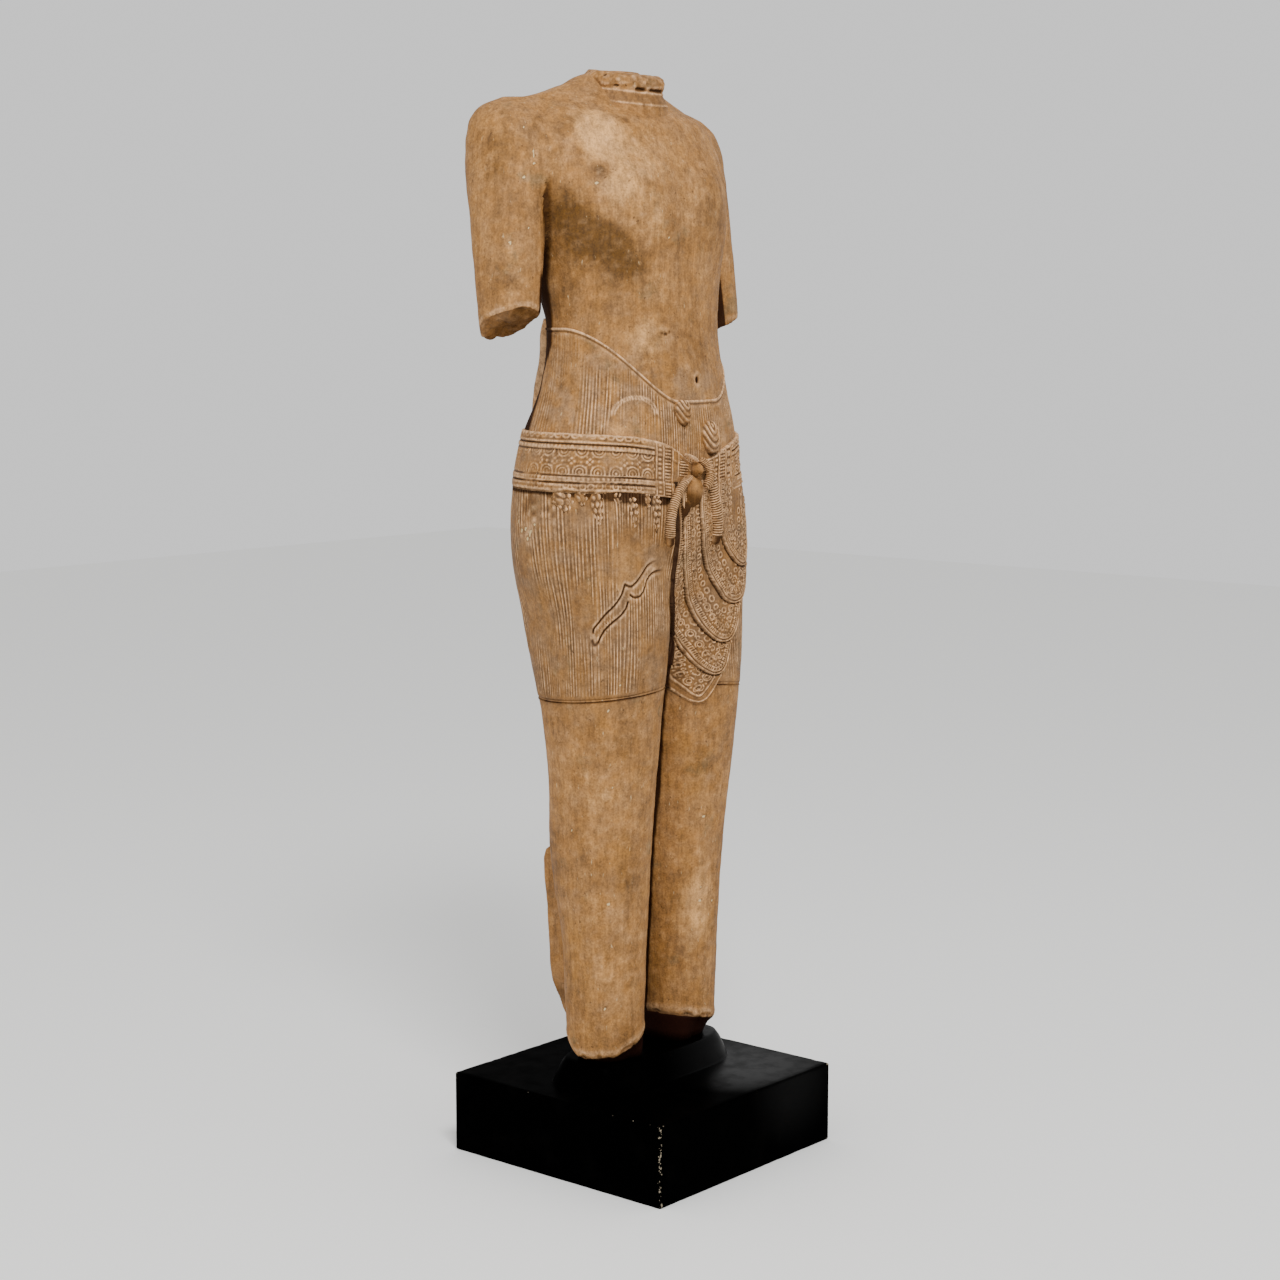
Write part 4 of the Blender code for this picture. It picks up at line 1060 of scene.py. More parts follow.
def ribbon(grid):
    """The ribbon's grooves, and how far its strip is sunk. Formula: bumps of the distance to each line."""
    groove = np.zeros(grid.shape[:-1])
    for points in RIBBON_GROOVES:
        away, _ = to_path(grid, on_front(smooth_path(points, 40)))
        groove = np.maximum(groove, bump(away, 0.0, 0.0009))
    away, _ = to_path(grid, on_front(smooth_path(RIBBON_END, 12)))
    groove = np.maximum(groove, 0.5 * bump(away, 0.0, 0.0016))
    away, run = to_path(grid, on_front(smooth_path(RIBBON_BARS, 24)))
    bars = bump(away, 0.0, 0.0042) * (0.5 + 0.5 * np.cos(math.tau * run / 0.0028))
    return groove, 0.0004 * bars * (run > 0.001) * (run < 0.03)


thigh_cloth(-1, "right_thigh_cloth", 560, 146, [(-0.85, 0.65, 1.1)], [(0.42, 0.22, 1.0), (0.01, 0.02, 2.0)])
thigh_cloth(1, "left_thigh_cloth", 460, 90, [(0.2, 1.0, 0.4)], [(0.01, 0.02, 3.0)])

# %% [markdown]
# ## The lower legs
# Below the cloth the legs are plain and smooth, and broken off above the feet. The broken rim is uneven,
# with a worn edge. Under it each stump draws in to its seat on the black mound.

# %% The legs' skins
LEG_COLUMNS = 160
SEAT = 0.12
# Height, and the bearing inwards in degrees where the painted shade of the slit between the legs begins
LEG_SLIT = np.array([(0.15, 108.5), (0.1765, 104.0), (0.2355, 96.5), (0.284, 87.5), (0.332, 78.5),
                     (0.3675, 75.0), (0.4025, 73.0), (0.449, 71.5), (0.496, 68.0), (0.5305, 63.5),
                     (0.589, 57.0)])


def leg_break(angle, side):
    """The break's uneven height. Formula: a slow wave round the leg, and a chip at the right one's back."""
    if side < 0:
        chip = 0.012 * bump(np.degrees(angle), -135.0, 20.0)
        return 0.14 - 0.0155 * np.cos(angle + math.radians(85)) + chip
    return 0.1425 + 0.01 * np.cos(angle + math.radians(80))


def make_leg(side, name):
    """A lower leg: its seat in the mound, the stump's rows that draw in to it, and level rows up the leg."""
    angle = around(LEG_COLUMNS)
    ring = np.stack([np.sin(angle), np.cos(angle), np.full(angle.shape, side)], -1)
    rag = 0.003 * centred(ring, 0.3, 50) + 0.0016 * centred(ring, 0.1, 51)
    rim = leg_break(angle, side) + rag
    body_shares = np.concatenate([[0.0, 0.004], np.linspace(0.01, 1.0, 124)])[:, None]
    body = between(rim, leg_hem(angle, side) + 0.006, body_shares)
    foot_share = np.array([0.1, 0.35, 0.58, 0.7, 0.76, 0.84, 0.91, 0.965])[:, None]
    foot = between(SEAT, rim, np.array([0.0, 0.0, 0.0, 0.0, 0.35, 0.7, 0.86, 0.95])[:, None])
    height = np.concatenate([foot, body])
    start, along = level_rays(LEG, side, angle, height)
    length = reach(LEG, height, np.sin(angle), np.cos(angle))
    filled = 0.85 * ease((-side * np.sin(angle) - 0.2) / 0.5)
    drawn_in = between(foot_share, 1.0, filled * (foot_share > 0.6))
    length = length * np.concatenate([drawn_in, np.ones(body.shape)])
    grid = start + along * length[..., None]
    broken = len(foot)
    row = np.arange(len(grid))[:, None]
    bevel = 0.0013 * bump(row, broken, 0.9) - 0.0006 * bump(row, broken + 3, 1.2)
    rough = weather(grid) * (0.4 + 0.6 * (row >= broken))
    chip = chipped(grid)
    bites = 0.002 * patches(grid, 0.01, 52, 0.5, 0.3)
    bites = bites * (1 - ease((grid[..., 2] - rim - 0.002) / 0.006))
    relief = rough - bevel - bites * (row >= broken) - CHIP_DEPTH * chip
    relief = np.where(row < 4, 0.0, relief)
    knee = 0.0012 * bump(angle, -side * 0.2, 0.5) * bump(height, 0.47, 0.022)
    # Painted shade in the slit between the legs and on the stump's rows under the break
    inward = -side * np.degrees(angle)
    starts = np.interp(grid[..., 2], *LEG_SLIT.T)
    inner = ease((inward - starts + 2.5) / 2.0) * (1 - ease((inward - starts - 30.0) / 25.0))
    deep = np.where(row < broken, 1.0, 0.95 * inner * ease((0.54 - grid[..., 2]) / 0.01))
    pale = 0.55 * bump(row, broken + 0.5, 1.0) * patches(grid, 0.012, 53, 0.35, 0.3)
    return plaster(name, grid, relief + knee, 0.001, 2, chip, deep, wear_and_highlight=pale)


make_leg(-1, "right_leg")
make_leg(1, "left_leg")

# %% [markdown]
# ## The swag of folded cloth
# On the left thigh the cloth's loose end is folded into five layers, each lying on the one below and showing
# a curved border: a double rim, a band of small scallops, and a row of rosettes. It is made as one sheet
# over the thigh. At each place the topmost fold is found, and how far the place is from that fold's edge
# says how high it stands and what is carved there.

# %% The folds' edges
UNDER_BELT = 0.78
SWAGS = [
    [(-0.006, UNDER_BELT), (-0.006, 0.65), (-0.005, 0.578), (-0.003, 0.5535), (0.002, 0.54),
     (0.0085, 0.532), (0.0163, 0.523), (0.0224, 0.5185), (0.0294, 0.5168), (0.0352, 0.519),
     (0.0414, 0.527), (0.0482, 0.5375), (0.053, 0.5465), (0.055, 0.553)],
    [(-0.037, UNDER_BELT), (-0.0315, 0.705), (-0.0285, 0.66), (-0.026, 0.63), (-0.015, 0.608),
     (0.001, 0.592), (0.0122, 0.576), (0.0188, 0.5655), (0.0262, 0.5575), (0.0348, 0.5515),
     (0.0433, 0.548), (0.0513, 0.549), (0.0583, 0.555), (0.0624, 0.565), (0.0651, 0.576), (0.0675, 0.588)],
    [(-0.026, UNDER_BELT), (-0.0213, 0.704), (-0.015, 0.6815), (0.0008, 0.6465), (0.0159, 0.6215),
     (0.0275, 0.6015), (0.0352, 0.5935), (0.0445, 0.587), (0.0545, 0.5845), (0.0644, 0.5865),
     (0.0717, 0.5935), (0.0765, 0.603), (0.08, 0.617), (0.0825, 0.63)],
    [(0.004, UNDER_BELT), (0.0079, 0.7135), (0.014, 0.694), (0.0231, 0.6785), (0.0323, 0.6645),
     (0.0456, 0.6435), (0.054, 0.6335), (0.0658, 0.628), (0.0754, 0.6275), (0.0882, 0.6315),
     (0.096, 0.64), (0.101, 0.655), (0.104, 0.67)],
    [(0.037, UNDER_BELT), (0.0452, 0.7105), (0.0573, 0.693), (0.0744, 0.6745), (0.086, 0.6685),
     (0.0966, 0.668), (0.106, 0.678), (0.112, 0.7), (0.114, 0.735)],
]
# The sheet's height, and its left and right side there: a little wider than the folds
SWAG_SIDES = np.array([
    (0.51, 0.002, 0.052), (0.535, -0.002, 0.058), (0.56, -0.006, 0.066), (0.58, -0.01, 0.073),
    (0.595, -0.019, 0.079), (0.612, -0.029, 0.086), (0.64, -0.031, 0.1), (0.67, -0.032, 0.109),
    (0.705, -0.0345, 0.117), (0.77, -0.039, 0.122),
])
SWAG_ROWS, SWAG_ACROSS, SWAG_BACK = 300, 176, 4
# Height, and the x where the painted shade of the slit against the right thigh ends
SWAG_SLIT = np.array([(0.519, 0.008), (0.5535, 0.0048), (0.5775, 0.0026), (0.597, -0.0036),
                      (0.6155, -0.0126), (0.637, -0.0208), (0.66, -0.0258), (0.7045, -0.0304),
                      (0.77, -0.0354)])


def inside_outline(x, z, outline):
    """True inside a closed outline. Formula: a level line from there crosses it an odd number of times."""
    odd = np.zeros(x.shape, bool)
    for (ax, az), (bx, bz) in zip(outline, np.roll(outline, -1, axis=0)):
        if az != bz:
            odd ^= ((az > z) != (bz > z)) & (x < ax + (z - az) / (bz - az) * (bx - ax))
    return odd


edges = [smooth_path(points, 70) for points in SWAGS]
shut = UNDER_BELT + 0.01
outlines = [np.vstack([edge, (edge[-1][0], shut), (edge[0][0], shut)]) for edge in edges]
print("folds", len(edges), "edges", [round(float(length_along(edge)[-1]), 3) for edge in edges])


# %% How the sheet stands and what is carved on it
def fold_edges(x, z):
    """The topmost fold's number, how far in its edge lies, the way along it, and how near a higher one is."""
    number = np.zeros(x.shape, int)
    away, along = np.full(x.shape, -1.0), np.zeros(x.shape)
    under = np.full(x.shape, np.inf)
    place = np.stack([x, z], -1)
    for k, (edge, outline) in enumerate(zip(edges, outlines)):
        here = inside_outline(x, z, outline)
        distance, run = to_path(place, edge)
        number = np.where(here, k + 1, number)
        away = np.where(here, distance, away)
        along = np.where(here, run, along)
        under = np.where(here, np.inf, np.minimum(under, distance))
    return number, away, along, under


def fold_relief(number, away, along, under):
    """Formula: a lift that fades from the edge inwards; ridges, scallops and rosettes at set distances."""
    lift = 0.0012 + 0.0008 * (number - 1) + 0.0026 * (1 - ease(away / 0.032)) * ease(away / 0.001 + 0.25)
    lift = lift - 0.0013 * bump(under, 0.0008, 0.0009) + 0.0009 * bump(under, 0.0032, 0.0009)
    first = number == 1
    rim = 1.2 * line(away, 0.0009, 0.0019) - 0.9 * line(away, 0.0025, 0.0014) * (1 - first)
    rim = rim + 0.9 * line(away, 0.0037, 0.0015) * (1 - first) + 1.2 * line(away, 0.0078, 0.002) * first
    across = np.abs(cell(along, 0.0053))
    hooks = bump(across, 0.0013, 0.0007) * inside(away, 0.0045, 0.008, 0.001)
    hooks = (hooks + bump(away, 0.0083, 0.0008) * (across < 0.002)) * (1 - first)
    across, up = cell(along + 0.0045 * number, 0.0142), away - 0.0148
    flower = np.hypot(across, up)
    broken = 1 - 0.8 * ease((np.cos(np.arctan2(across, up) - 1.1 * number) - 0.55) / 0.3)
    flowers = bump(flower, 0.0043, 0.0009) * broken + 0.9 * bump(flower, 0.0022, 0.0007)
    flowers = flowers - 0.7 * bump(flower, 0, 0.0008)
    seeds_way = cell(along + 0.0071 + 0.0045 * number, 0.0142)
    seeds = 0.8 * bump(np.hypot(seeds_way, away - 0.0115), 0.0, 0.0012)
    seeds = seeds + 0.8 * bump(np.hypot(seeds_way, away - 0.0176), 0.0017, 0.0007)
    second = 0.8 * bump(np.hypot(cell(along + 0.003, 0.01), away - 0.0255), 0.0029, 0.0008)
    return lift, rim + hooks + flowers + seeds + second


def soft_front(x, z):
    """The front, with the hollow between the thighs bridged by the sheet. Formula: a mean over nearby x."""
    near = np.linspace(-0.016, 0.016, 9)
    weight = 1 - (near / 0.02) ** 2
    mean = sum(w * front_y(x + dx, z) for dx, w in zip(near, weight)) / weight.sum()
    return np.minimum(mean, front_y(x, z))


# %% The swag's sheet
heights = np.linspace(0.515, 0.7685, SWAG_ROWS)
left, right = (np.interp(heights, SWAG_SIDES[:, 0], column)[:, None] for column in SWAG_SIDES.T[1:])
x = between(left, right, np.linspace(0, 1, SWAG_ACROSS))
z = heights[:, None] + 0 * x
number, away, way, under = fold_edges(x, z)
lift, carving = fold_relief(number, away, way, under)
covered = number > 0
place = np.stack([x, soft_front(x, z), z], -1)
wear = patches(place, 0.018, 60, 0.1, 0.36)
carving = np.where(covered, 0.0013 * carving * (0.45 + 0.55 * wear), 0.0)
lift = np.where(covered, lift, -0.005) + carving + 0.5 * weather(place)
sheet = place - np.stack([0 * x, lift, 0 * x], -1)
back_x = between(left + 0.001, right - 0.001, np.linspace(1, 0, SWAG_BACK))
back = np.stack([back_x, front_y(back_x, heights[:, None]) + 0.012, heights[:, None] + 0 * back_x], -1)
swag_grid = np.concatenate([sheet, back], axis=1)
behind = np.zeros((SWAG_ROWS, SWAG_BACK))
hollow, ridge = hollow_and_ridge(np.concatenate([carving, behind], axis=1), 3, 0.0005)
# Painted shade in the slit against the right thigh, along the sheet's upper left margin, under each higher
# fold's edge, on the sunk places no fold covers and on the back
crease_dark = 0.95 * (1 - ease((x - np.interp(z, *SWAG_SLIT.T) - 0.0012) / 0.0014))
margin = x - left
shaded = 0.85 * (1 - ease((margin - 0.01) / 0.003)) * ease((z - 0.7) / 0.02)
shaded = shaded * (1 - 0.7 * bump(margin, 0.0065, 0.0014))
dark = np.maximum(np.maximum(crease_dark, shaded), 0.85 * bump(under, 0.0005, 0.001))
dark = np.where(covered, dark, 0.85)
dark = np.concatenate([dark, behind + 0.8], axis=1)
keep("swag", swag_grid, hollow, ridge, chipped(swag_grid), dark)

# %% [markdown]
# ## Cord ends, knot, folds and pendants
# The belt's cord ends in two short thick tassels, wound round like rope, whose cut feet are painted in shade.
# Between them a smooth loop of cloth sags from the knot. Each is low relief on the body. A tassel is a circle
# carried along a curve and swelled by its winding. The loop, the knot and the drops are lenses: a flattened
# half globe on the front, whose relief is again a function of two distances, with painted shade towards
# their feet.


# %% A wound tassel along a path
TUBE_COLUMNS = 30


def tube(name, points, lifts, widths, thick, winding, slant, foot_length=0.0):
    """A circle carried along a path. Formula: its radius swells with a cosine of the way and the turn.

    It has rows enough for its winding, narrows to both ends, and is plain round a foot, which is painted in
    shade except along one side.
    """
    count = 60 + int(2400 * length_along(points)[-1] * (winding < 0.1))
    path = on_front(smooth_path(points, count))
    path[:, 1] -= np.interp(np.linspace(0, 1, count), *lifts)
    ahead = np.gradient(path, axis=0)
    ahead /= np.linalg.norm(ahead, axis=1, keepdims=True)
    run = length_along(path)
    total = run[-1]
    towards = np.array([0.0, -1.0, 0.0])
    out = towards - ahead * (ahead @ towards)[:, None]
    out /= np.linalg.norm(out, axis=1, keepdims=True)
    side = np.cross(ahead, out)
    turn = np.linspace(0, math.tau, TUBE_COLUMNS, endpoint=False)
    wound = 0.5 + 0.5 * np.cos(math.tau * (run[:, None] / winding + slant * np.cos(turn)))
    in_foot = ease((run - total + foot_length) / 0.0015)[:, None] * (foot_length > 0)
    point = ease((total - run) / 0.0045 + 0.15)[:, None]
    head = ease(run / 0.004 + 0.35)[:, None]
    swell = head * (0.35 + 0.65 * point) * (1 + 0.2 * (wound**0.7 - 0.5) * (1 - in_foot))
    swell = swell * (1 - 0.12 * in_foot)
    width = np.interp(run / total, *widths)[:, None]
    ring = (width * np.cos(turn))[..., None] * side[:, None]
    ring = ring + thick * np.sin(turn)[None, :, None] * out[:, None]
    grid = path[:, None] + ring * swell[..., None]
    hollow = np.clip(1 - wound * 1.8, 0, 1) * (1 - in_foot)
    ridge = ease(wound * 1.6 - 0.6) * (1 - in_foot)
    if np.cross(ahead[0], side[0]) @ out[0] < 0:
        grid, hollow, ridge = grid[:, ::-1], hollow[:, ::-1], ridge[:, ::-1]
    return keep(name, grid, hollow, ridge, deep=0.85 * in_foot * ease(1.15 - np.cos(turn)))


ROPE_RIGHT = [(-0.015, 0.7745), (-0.03, 0.7645), (-0.0378, 0.754), (-0.0442, 0.7415), (-0.0478, 0.7275),
              (-0.048, 0.713), (-0.0467, 0.6985)]
ROPE_LEFT = [(0.0215, 0.779), (0.023, 0.768), (0.0275, 0.748), (0.0315, 0.7335), (0.0335, 0.72),
             (0.0335, 0.708), (0.033, 0.696)]
STRAND = [(-0.001, 0.7915), (0.007, 0.7865), (0.0112, 0.778), (0.0105, 0.769), (0.007, 0.76)]
WRAP = [(-0.023, 0.798), (-0.015, 0.795), (-0.008, 0.79)]
# Shares of the way along with how far each is lifted off the body there, and with its half width there
RIGHT_LIFTS = ((0, 0.15, 1), (0.006, 0.009, 0.009))
RIGHT_WIDTHS = ((0, 0.15, 0.35, 0.7, 1), (0.0024, 0.003, 0.0042, 0.0048, 0.0048))
LEFT_LIFTS = ((0, 0.15, 1), (0.004, 0.006, 0.006))
LEFT_WIDTHS = ((0, 0.4, 1), (0.0052, 0.0064, 0.0064))
STRAND_LIFTS = ((0, 0.5, 1), (0.008, 0.014, 0.012))
STRAND_WIDTHS = ((0, 0.5, 1), (0.0036, 0.0044, 0.0044))
WRAP_LIFTS = ((0, 0.5, 1), (0.005, 0.009, 0.012))
WRAP_WIDTHS = ((0, 1), (0.0014, 0.002))
tube("right_tassel", ROPE_RIGHT, RIGHT_LIFTS, RIGHT_WIDTHS, 0.0053, 0.0023, 0.3, 0.012)
tube("left_tassel", ROPE_LEFT, LEFT_LIFTS, LEFT_WIDTHS, 0.006, 0.0028, -0.14, 0.011)
tube("strand", STRAND, STRAND_LIFTS, STRAND_WIDTHS, 0.005, 0.0024, 0.8)
tube("wrap", WRAP, WRAP_LIFTS, WRAP_WIDTHS, 0.003, 0.5, 0.0)


# %% Lenses of low relief
def lens(name, middle, half_size, proud, lean, taper, shade, carve=None, count=(26, 50)):
    """A flattened half globe on the front. Formula: its lift is the root of 1 - share squared.

    It leans by an angle and narrows below by its taper. Three rows behind close it.
    """
    (x, z), (half_width, half_height), (rows, columns) = middle, half_size, count
    turn = around(columns)
    share = np.concatenate([np.sin(np.linspace(0.03, 1, rows) * math.pi / 2), [0.97, 0.7, 0.3]])[:, None]
    across, up = share * np.sin(turn), -share * np.cos(turn)
    height = np.sqrt(np.clip(1 - share**2, 0, 1)) + 0 * turn
    height[rows:] = np.array([-0.35, -0.5, -0.5])[:, None]
    wide, tall = across * half_width * (1 - taper * (0.5 - up / 2)), up * half_height
    px = x + wide * math.cos(lean) + tall * math.sin(lean)
    pz = z + tall * math.cos(lean) - wide * math.sin(lean)
    base = between(front_y(x, z), front_y(px, pz), 0.6)
    relief = np.zeros(px.shape)
    if carve:
        relief[:rows] = carve(across, up, share + 0 * turn)[:rows]
    grid = np.stack([px, base - proud * height - relief, pz], -1)[::-1]
    hollow, ridge = hollow_and_ridge(relief[::-1], 2, 0.0004)
    return keep(name, grid, hollow, ridge, deep=shade(across, up)[::-1])


def nested(period, depth, eye):
    """Nested U ridges. Formula: a cosine of the distance from a place near the upper edge."""
    def carve(across, up, share):
        away = np.hypot(across - eye[0], (up - eye[1]) * 0.8)
        wave = 0.5 + 0.5 * np.cos(math.tau * away / period)
        return depth * (wave**0.8) * ease((1.02 - share) / 0.12)
    return carve


def clustered(seed, half_width, half_height):
    """A bunch of small leaves. Formula: bumps in cells of 5.4 by 6.2 mm, every other row half a cell on."""
    def carve(across, up, share):
        place = np.stack([across * half_width, up * half_height, 0 * up + seed], -1)
        shift = 0.003 * centred(place, 0.009, seed + 5)
        row = np.round((up * half_height + shift) / 0.0062)
        side = cell(across * half_width + shift + 0.0027 * (row % 2), 0.0054)
        leaf = np.hypot(side, cell(up * half_height + shift, 0.0062) * 0.7)
        uneven = noise(place, 0.0034, seed)
        return (0.0034 * bump(leaf, 0.0, 0.0019) * (0.4 + 1.2 * uneven) - 0.0008) * ease((1.0 - share) / 0.15)
    return carve


def lower_shade(start, strength, soft):
    """Painted shade towards the foot of a lens. Formula: eased from a start downwards."""
    def shade(across, up):
        return strength * ease((start - up) / soft)
    return shade


# Rows and columns of the larger lenses
LOOP_COUNT, FOLD_COUNT = (30, 64), (34, 72)
lens("knot", (-0.0052, 0.7806), (0.0044, 0.009), 0.017, 0.0, 0.0, lower_shade(0.3, 0.62, 0.9))
lens("loop", (-0.007, 0.756), (0.0165, 0.0185), 0.013, 0.35, 0.15, lower_shade(0.25, 0.72, 0.7),
     count=LOOP_COUNT)
lens("loop_foot", (-0.019, 0.74), (0.011, 0.02), 0.008, 0.5, 0.6, lower_shade(0.8, 0.88, 0.8))
lens("upper_fold", (-0.017, 0.842), (0.0145, 0.015), 0.007, -0.1, 0.35, lower_shade(-0.55, 0.7, 0.3),
     nested(0.36, 0.0016, (0.25, 0.8)), FOLD_COUNT)
lens("lower_fold", (0.0285, 0.8135), (0.0165, 0.02), 0.008, -0.15, 0.2, lower_shade(-0.62, 0.85, 0.25),
     nested(0.3, 0.0018, (0.05, 0.7)), FOLD_COUNT)

# Each drop's bearing from the front in degrees, its length and its half width
PENDANTS = [(-78.5, 0.022, 0.009), (-72.0, 0.014, 0.006), (-65.3, 0.038, 0.009), (-57.0, 0.015, 0.0062),
            (-49.5, 0.04, 0.008), (-41.2, 0.014, 0.0055), (-35.4, 0.041, 0.0078), (10, 0.034, 0.0085),
            (38, 0.026, 0.008), (52, 0.03, 0.008)]
for i, (degrees, length, half_width) in enumerate(PENDANTS):
    angle = np.array(math.radians(degrees))
    z = belt_bottom(angle) - length / 2 + 0.001
    x = float(reach(TRUNK, z, np.sin(angle), np.cos(angle)) * np.sin(angle))
    half_size = (half_width, length / 2 + 0.002)
    marks = clustered(70 + i, half_width, length / 2)
    shade = lower_shade(-0.66, 0.9, 0.2)
    lens(f"pendant_{i + 1}", (x, float(z)), half_size, 0.0036, 0.0, 0.72, shade, marks, (26, 48))
print("pendants", len(PENDANTS))

# %% [markdown]
# ## Behind the figure
# A slab was left standing behind the calves to stiffen the stone. Its edges are rounded and its lower back
# corner is broken. Above, the cloth's end is spread over the small of the back in flutes, and hangs below
# the belt in a short tail. The photograph doesn't show these, so they stay simple and in keeping.

# %% The slab behind the calves
SLAB_HALF_WIDTH, SLAB_HALF_DEPTH, SLAB_POWER = 0.075, 0.02, 12.0
SLAB_FRONT, SLAB_TOP = 0.045, 0.354
# Height and how far back the slab reaches there
SLAB_BACK = np.array([(0.152, 0.0465), (0.163, 0.053), (0.176, 0.062), (0.196, 0.076), (0.216, 0.079),
                      (0.281, 0.083), (0.315, 0.088), (0.336, 0.0885), (0.347, 0.085), (0.354, 0.076)])
angles = around(120)
height = np.concatenate([[0.152] * 3, np.linspace(0.152, SLAB_TOP, 62), [SLAB_TOP] * 5])[:, None]
share = np.concatenate([[0.2, 0.6, 0.9], np.ones(60), [0.99, 0.965, 0.93, 0.8, 0.55, 0.3, 0.1]])[:, None]
back_y = np.interp(height, *SLAB_BACK.T)
half_deep = (back_y - SLAB_FRONT) / 2
aspect = np.arctan2(np.sin(angles) * SLAB_HALF_WIDTH, np.cos(angles) * SLAB_HALF_DEPTH)
sine, cosine = np.sin(aspect), np.cos(aspect)
length = share * superellipse(sine, cosine, SLAB_HALF_WIDTH, half_deep, SLAB_POWER)
slab_grid = np.stack([length * sine, SLAB_FRONT + half_deep - length * cosine, height + 0 * length], -1)
broken = 1 - ease((height - 0.19) / 0.02)
rough = 0.004 * (noise(slab_grid, 0.014, 80) - 0.6) * broken * (slab_grid[..., 1] > 0.047)
# The broken foot is painted a little darker
plaster("slab", slab_grid, weather(slab_grid) + rough, 0.001, 2, deep=0.25 * broken)


# %% The fluted ends of the sash behind
# A panel's rows, its columns on the face and its columns behind
PANEL_ROWS, PANEL_FACE, PANEL_INNER = 44, 150, 12


def back_panel(name, rows, flutes, flute_depth, crown, inner_y, inner_share, proud):
    """A fluted panel on the back. Formula: a parabola across, plus a cosine for the flutes."""
    table = np.array(rows)
    height = np.linspace(table[0, 0], table[-1, 0], PANEL_ROWS)[:, None]
    half, depth = measures(table, height[:, 0])[..., None]
    spread_out = np.linspace(1, -1, PANEL_FACE)
    wave = flute_depth * np.cos(math.pi * (spread_out + 1) * flutes)
    ends = ease((1 - np.abs(spread_out)) / 0.03)
    outer_y = depth + proud + crown * (1 - spread_out**2) + wave * ends - 0.003 * (1 - ends)
    outer = np.stack([half * spread_out, outer_y, height + 0 * spread_out], -1)
    backwards = np.linspace(-1, 1, PANEL_INNER) * inner_share
    inner = np.stack([half * backwards, inner_y(height) + 0 * backwards, height + 0 * backwards], -1)
    grid = np.concatenate([outer, inner], axis=1)
    shown = np.arange(PANEL_FACE + PANEL_INNER) < PANEL_FACE
    sunk = np.concatenate([wave, np.zeros(PANEL_INNER)]) + 0 * height
    hollow, ridge = hollow_and_ridge(sunk, 4, flute_depth * 1.4)
    return keep(name, raised(grid, 0.6 * weather(grid) * shown), hollow, ridge, 0.3 * chipped(grid))


def trunk_back(height):
    """The y of the trunk's back at a height."""
    _, centre_y, _, _, back, _ = measures(TRUNK, np.asarray(height))
    return centre_y + back


FAN = [(0.8, 0.042, 0.118), (0.83, 0.052, 0.12), (0.865, 0.06, 0.1105), (0.9, 0.064, 0.0985),
       (0.93, 0.066, 0.0945), (0.944, 0.063, 0.0925)]
TAIL = [(0.64, 0.034), (0.66, 0.034), (0.7, 0.028), (0.74, 0.022), (0.765, 0.02)]
TAIL = [(z, half, float(trunk_back(z)) - 0.01) for z, half in TAIL]
back_panel("sash_fan", FAN, 14, 0.0011, 0.008, lambda z: 0.045 + 0 * z, 0.8, 0.0)
back_panel("sash_tail", TAIL, 9, 0.0009, 0.01, lambda z: trunk_back(z) - 0.03, 1.0, 0.006)

# %% [markdown]
# ## The black plinth
# A square block carries the figure. It is lacquered black, with its edges a little rounded and chipped to
# the pale ground. On it a low flared mound of the same black holds both stumps. Block and mound are one
# skin: rows up the sides, in across the top, and up the mound, with the outline changing from a rounded
# square to a superellipse.

# %% The plinth's skin
PLINTH_HALF = 0.1525
PLINTH_TOP = 0.091
PLINTH_EDGE = 0.0022
MOUND = np.array([(0.091, 0.016), (0.0975, 0.0132), (0.104, 0.011), (0.109, 0.0088), (0.114, 0.0065),
                  (0.117, 0.0044), (0.1197, 0.0025)])
MOUND_POWER = 3.4
SIDE_COLUMNS, CORNER_COLUMNS = 44, 7


def square_outline(half, radius):
    """A rounded square, from straight behind all round. Formula: straight runs and quarter circles."""
    flat = half - radius
    turn = np.linspace(0, math.pi / 2, CORNER_COLUMNS + 1)[:-1]
    run = np.linspace(-flat, flat, SIDE_COLUMNS + 1)[:-1]
    x = np.concatenate([flat + radius * np.sin(turn), np.full(SIDE_COLUMNS, half)])
    y = np.concatenate([-flat - radius * np.cos(turn), run])
    quarters = [(x, y), (-y, x), (-x, -y), (y, -x)]
    return tuple(np.concatenate([quarter[i] for quarter in quarters]) for i in (0, 1))


square_x, square_y = square_outline(1.0, 0.012)
columns = len(square_x)
rise = np.linspace(0, math.pi / 2, 5)
round_off = np.column_stack([PLINTH_EDGE * (1 - np.cos(rise)), PLINTH_EDGE * (1 - np.sin(rise))])
rows = [(0.0, share * PLINTH_HALF) for share in (0.2, 0.5, 0.8, 0.95)]
rows += [(up, PLINTH_HALF - inwards) for up, inwards in round_off]
rows += [(z, PLINTH_HALF) for z in np.linspace(0.004, PLINTH_TOP - 0.004, 22)]
rows += [(PLINTH_TOP - down, PLINTH_HALF - inwards) for inwards, down in round_off]
height, size = np.array(rows).T[..., None]
block = np.stack([size * square_x, size * square_y, height + 0 * square_x], -1)
bearing = np.arctan2(square_x, -square_y)
seat = measures(LEG, np.array(SEAT))


def mound_ring(flare):
    """One level outline of the mound, flared out by some way from the stumps' seat."""
    wide, front, back = seat[0] + seat[2] + flare, seat[3] + flare, seat[4] + flare
    sine, cosine = np.sin(bearing), np.cos(bearing)
    length = superellipse(sine, cosine, wide, np.where(cosine > 0, front, back), MOUND_POWER)
    return np.stack([length * sine, seat[1] - length * cosine], -1)


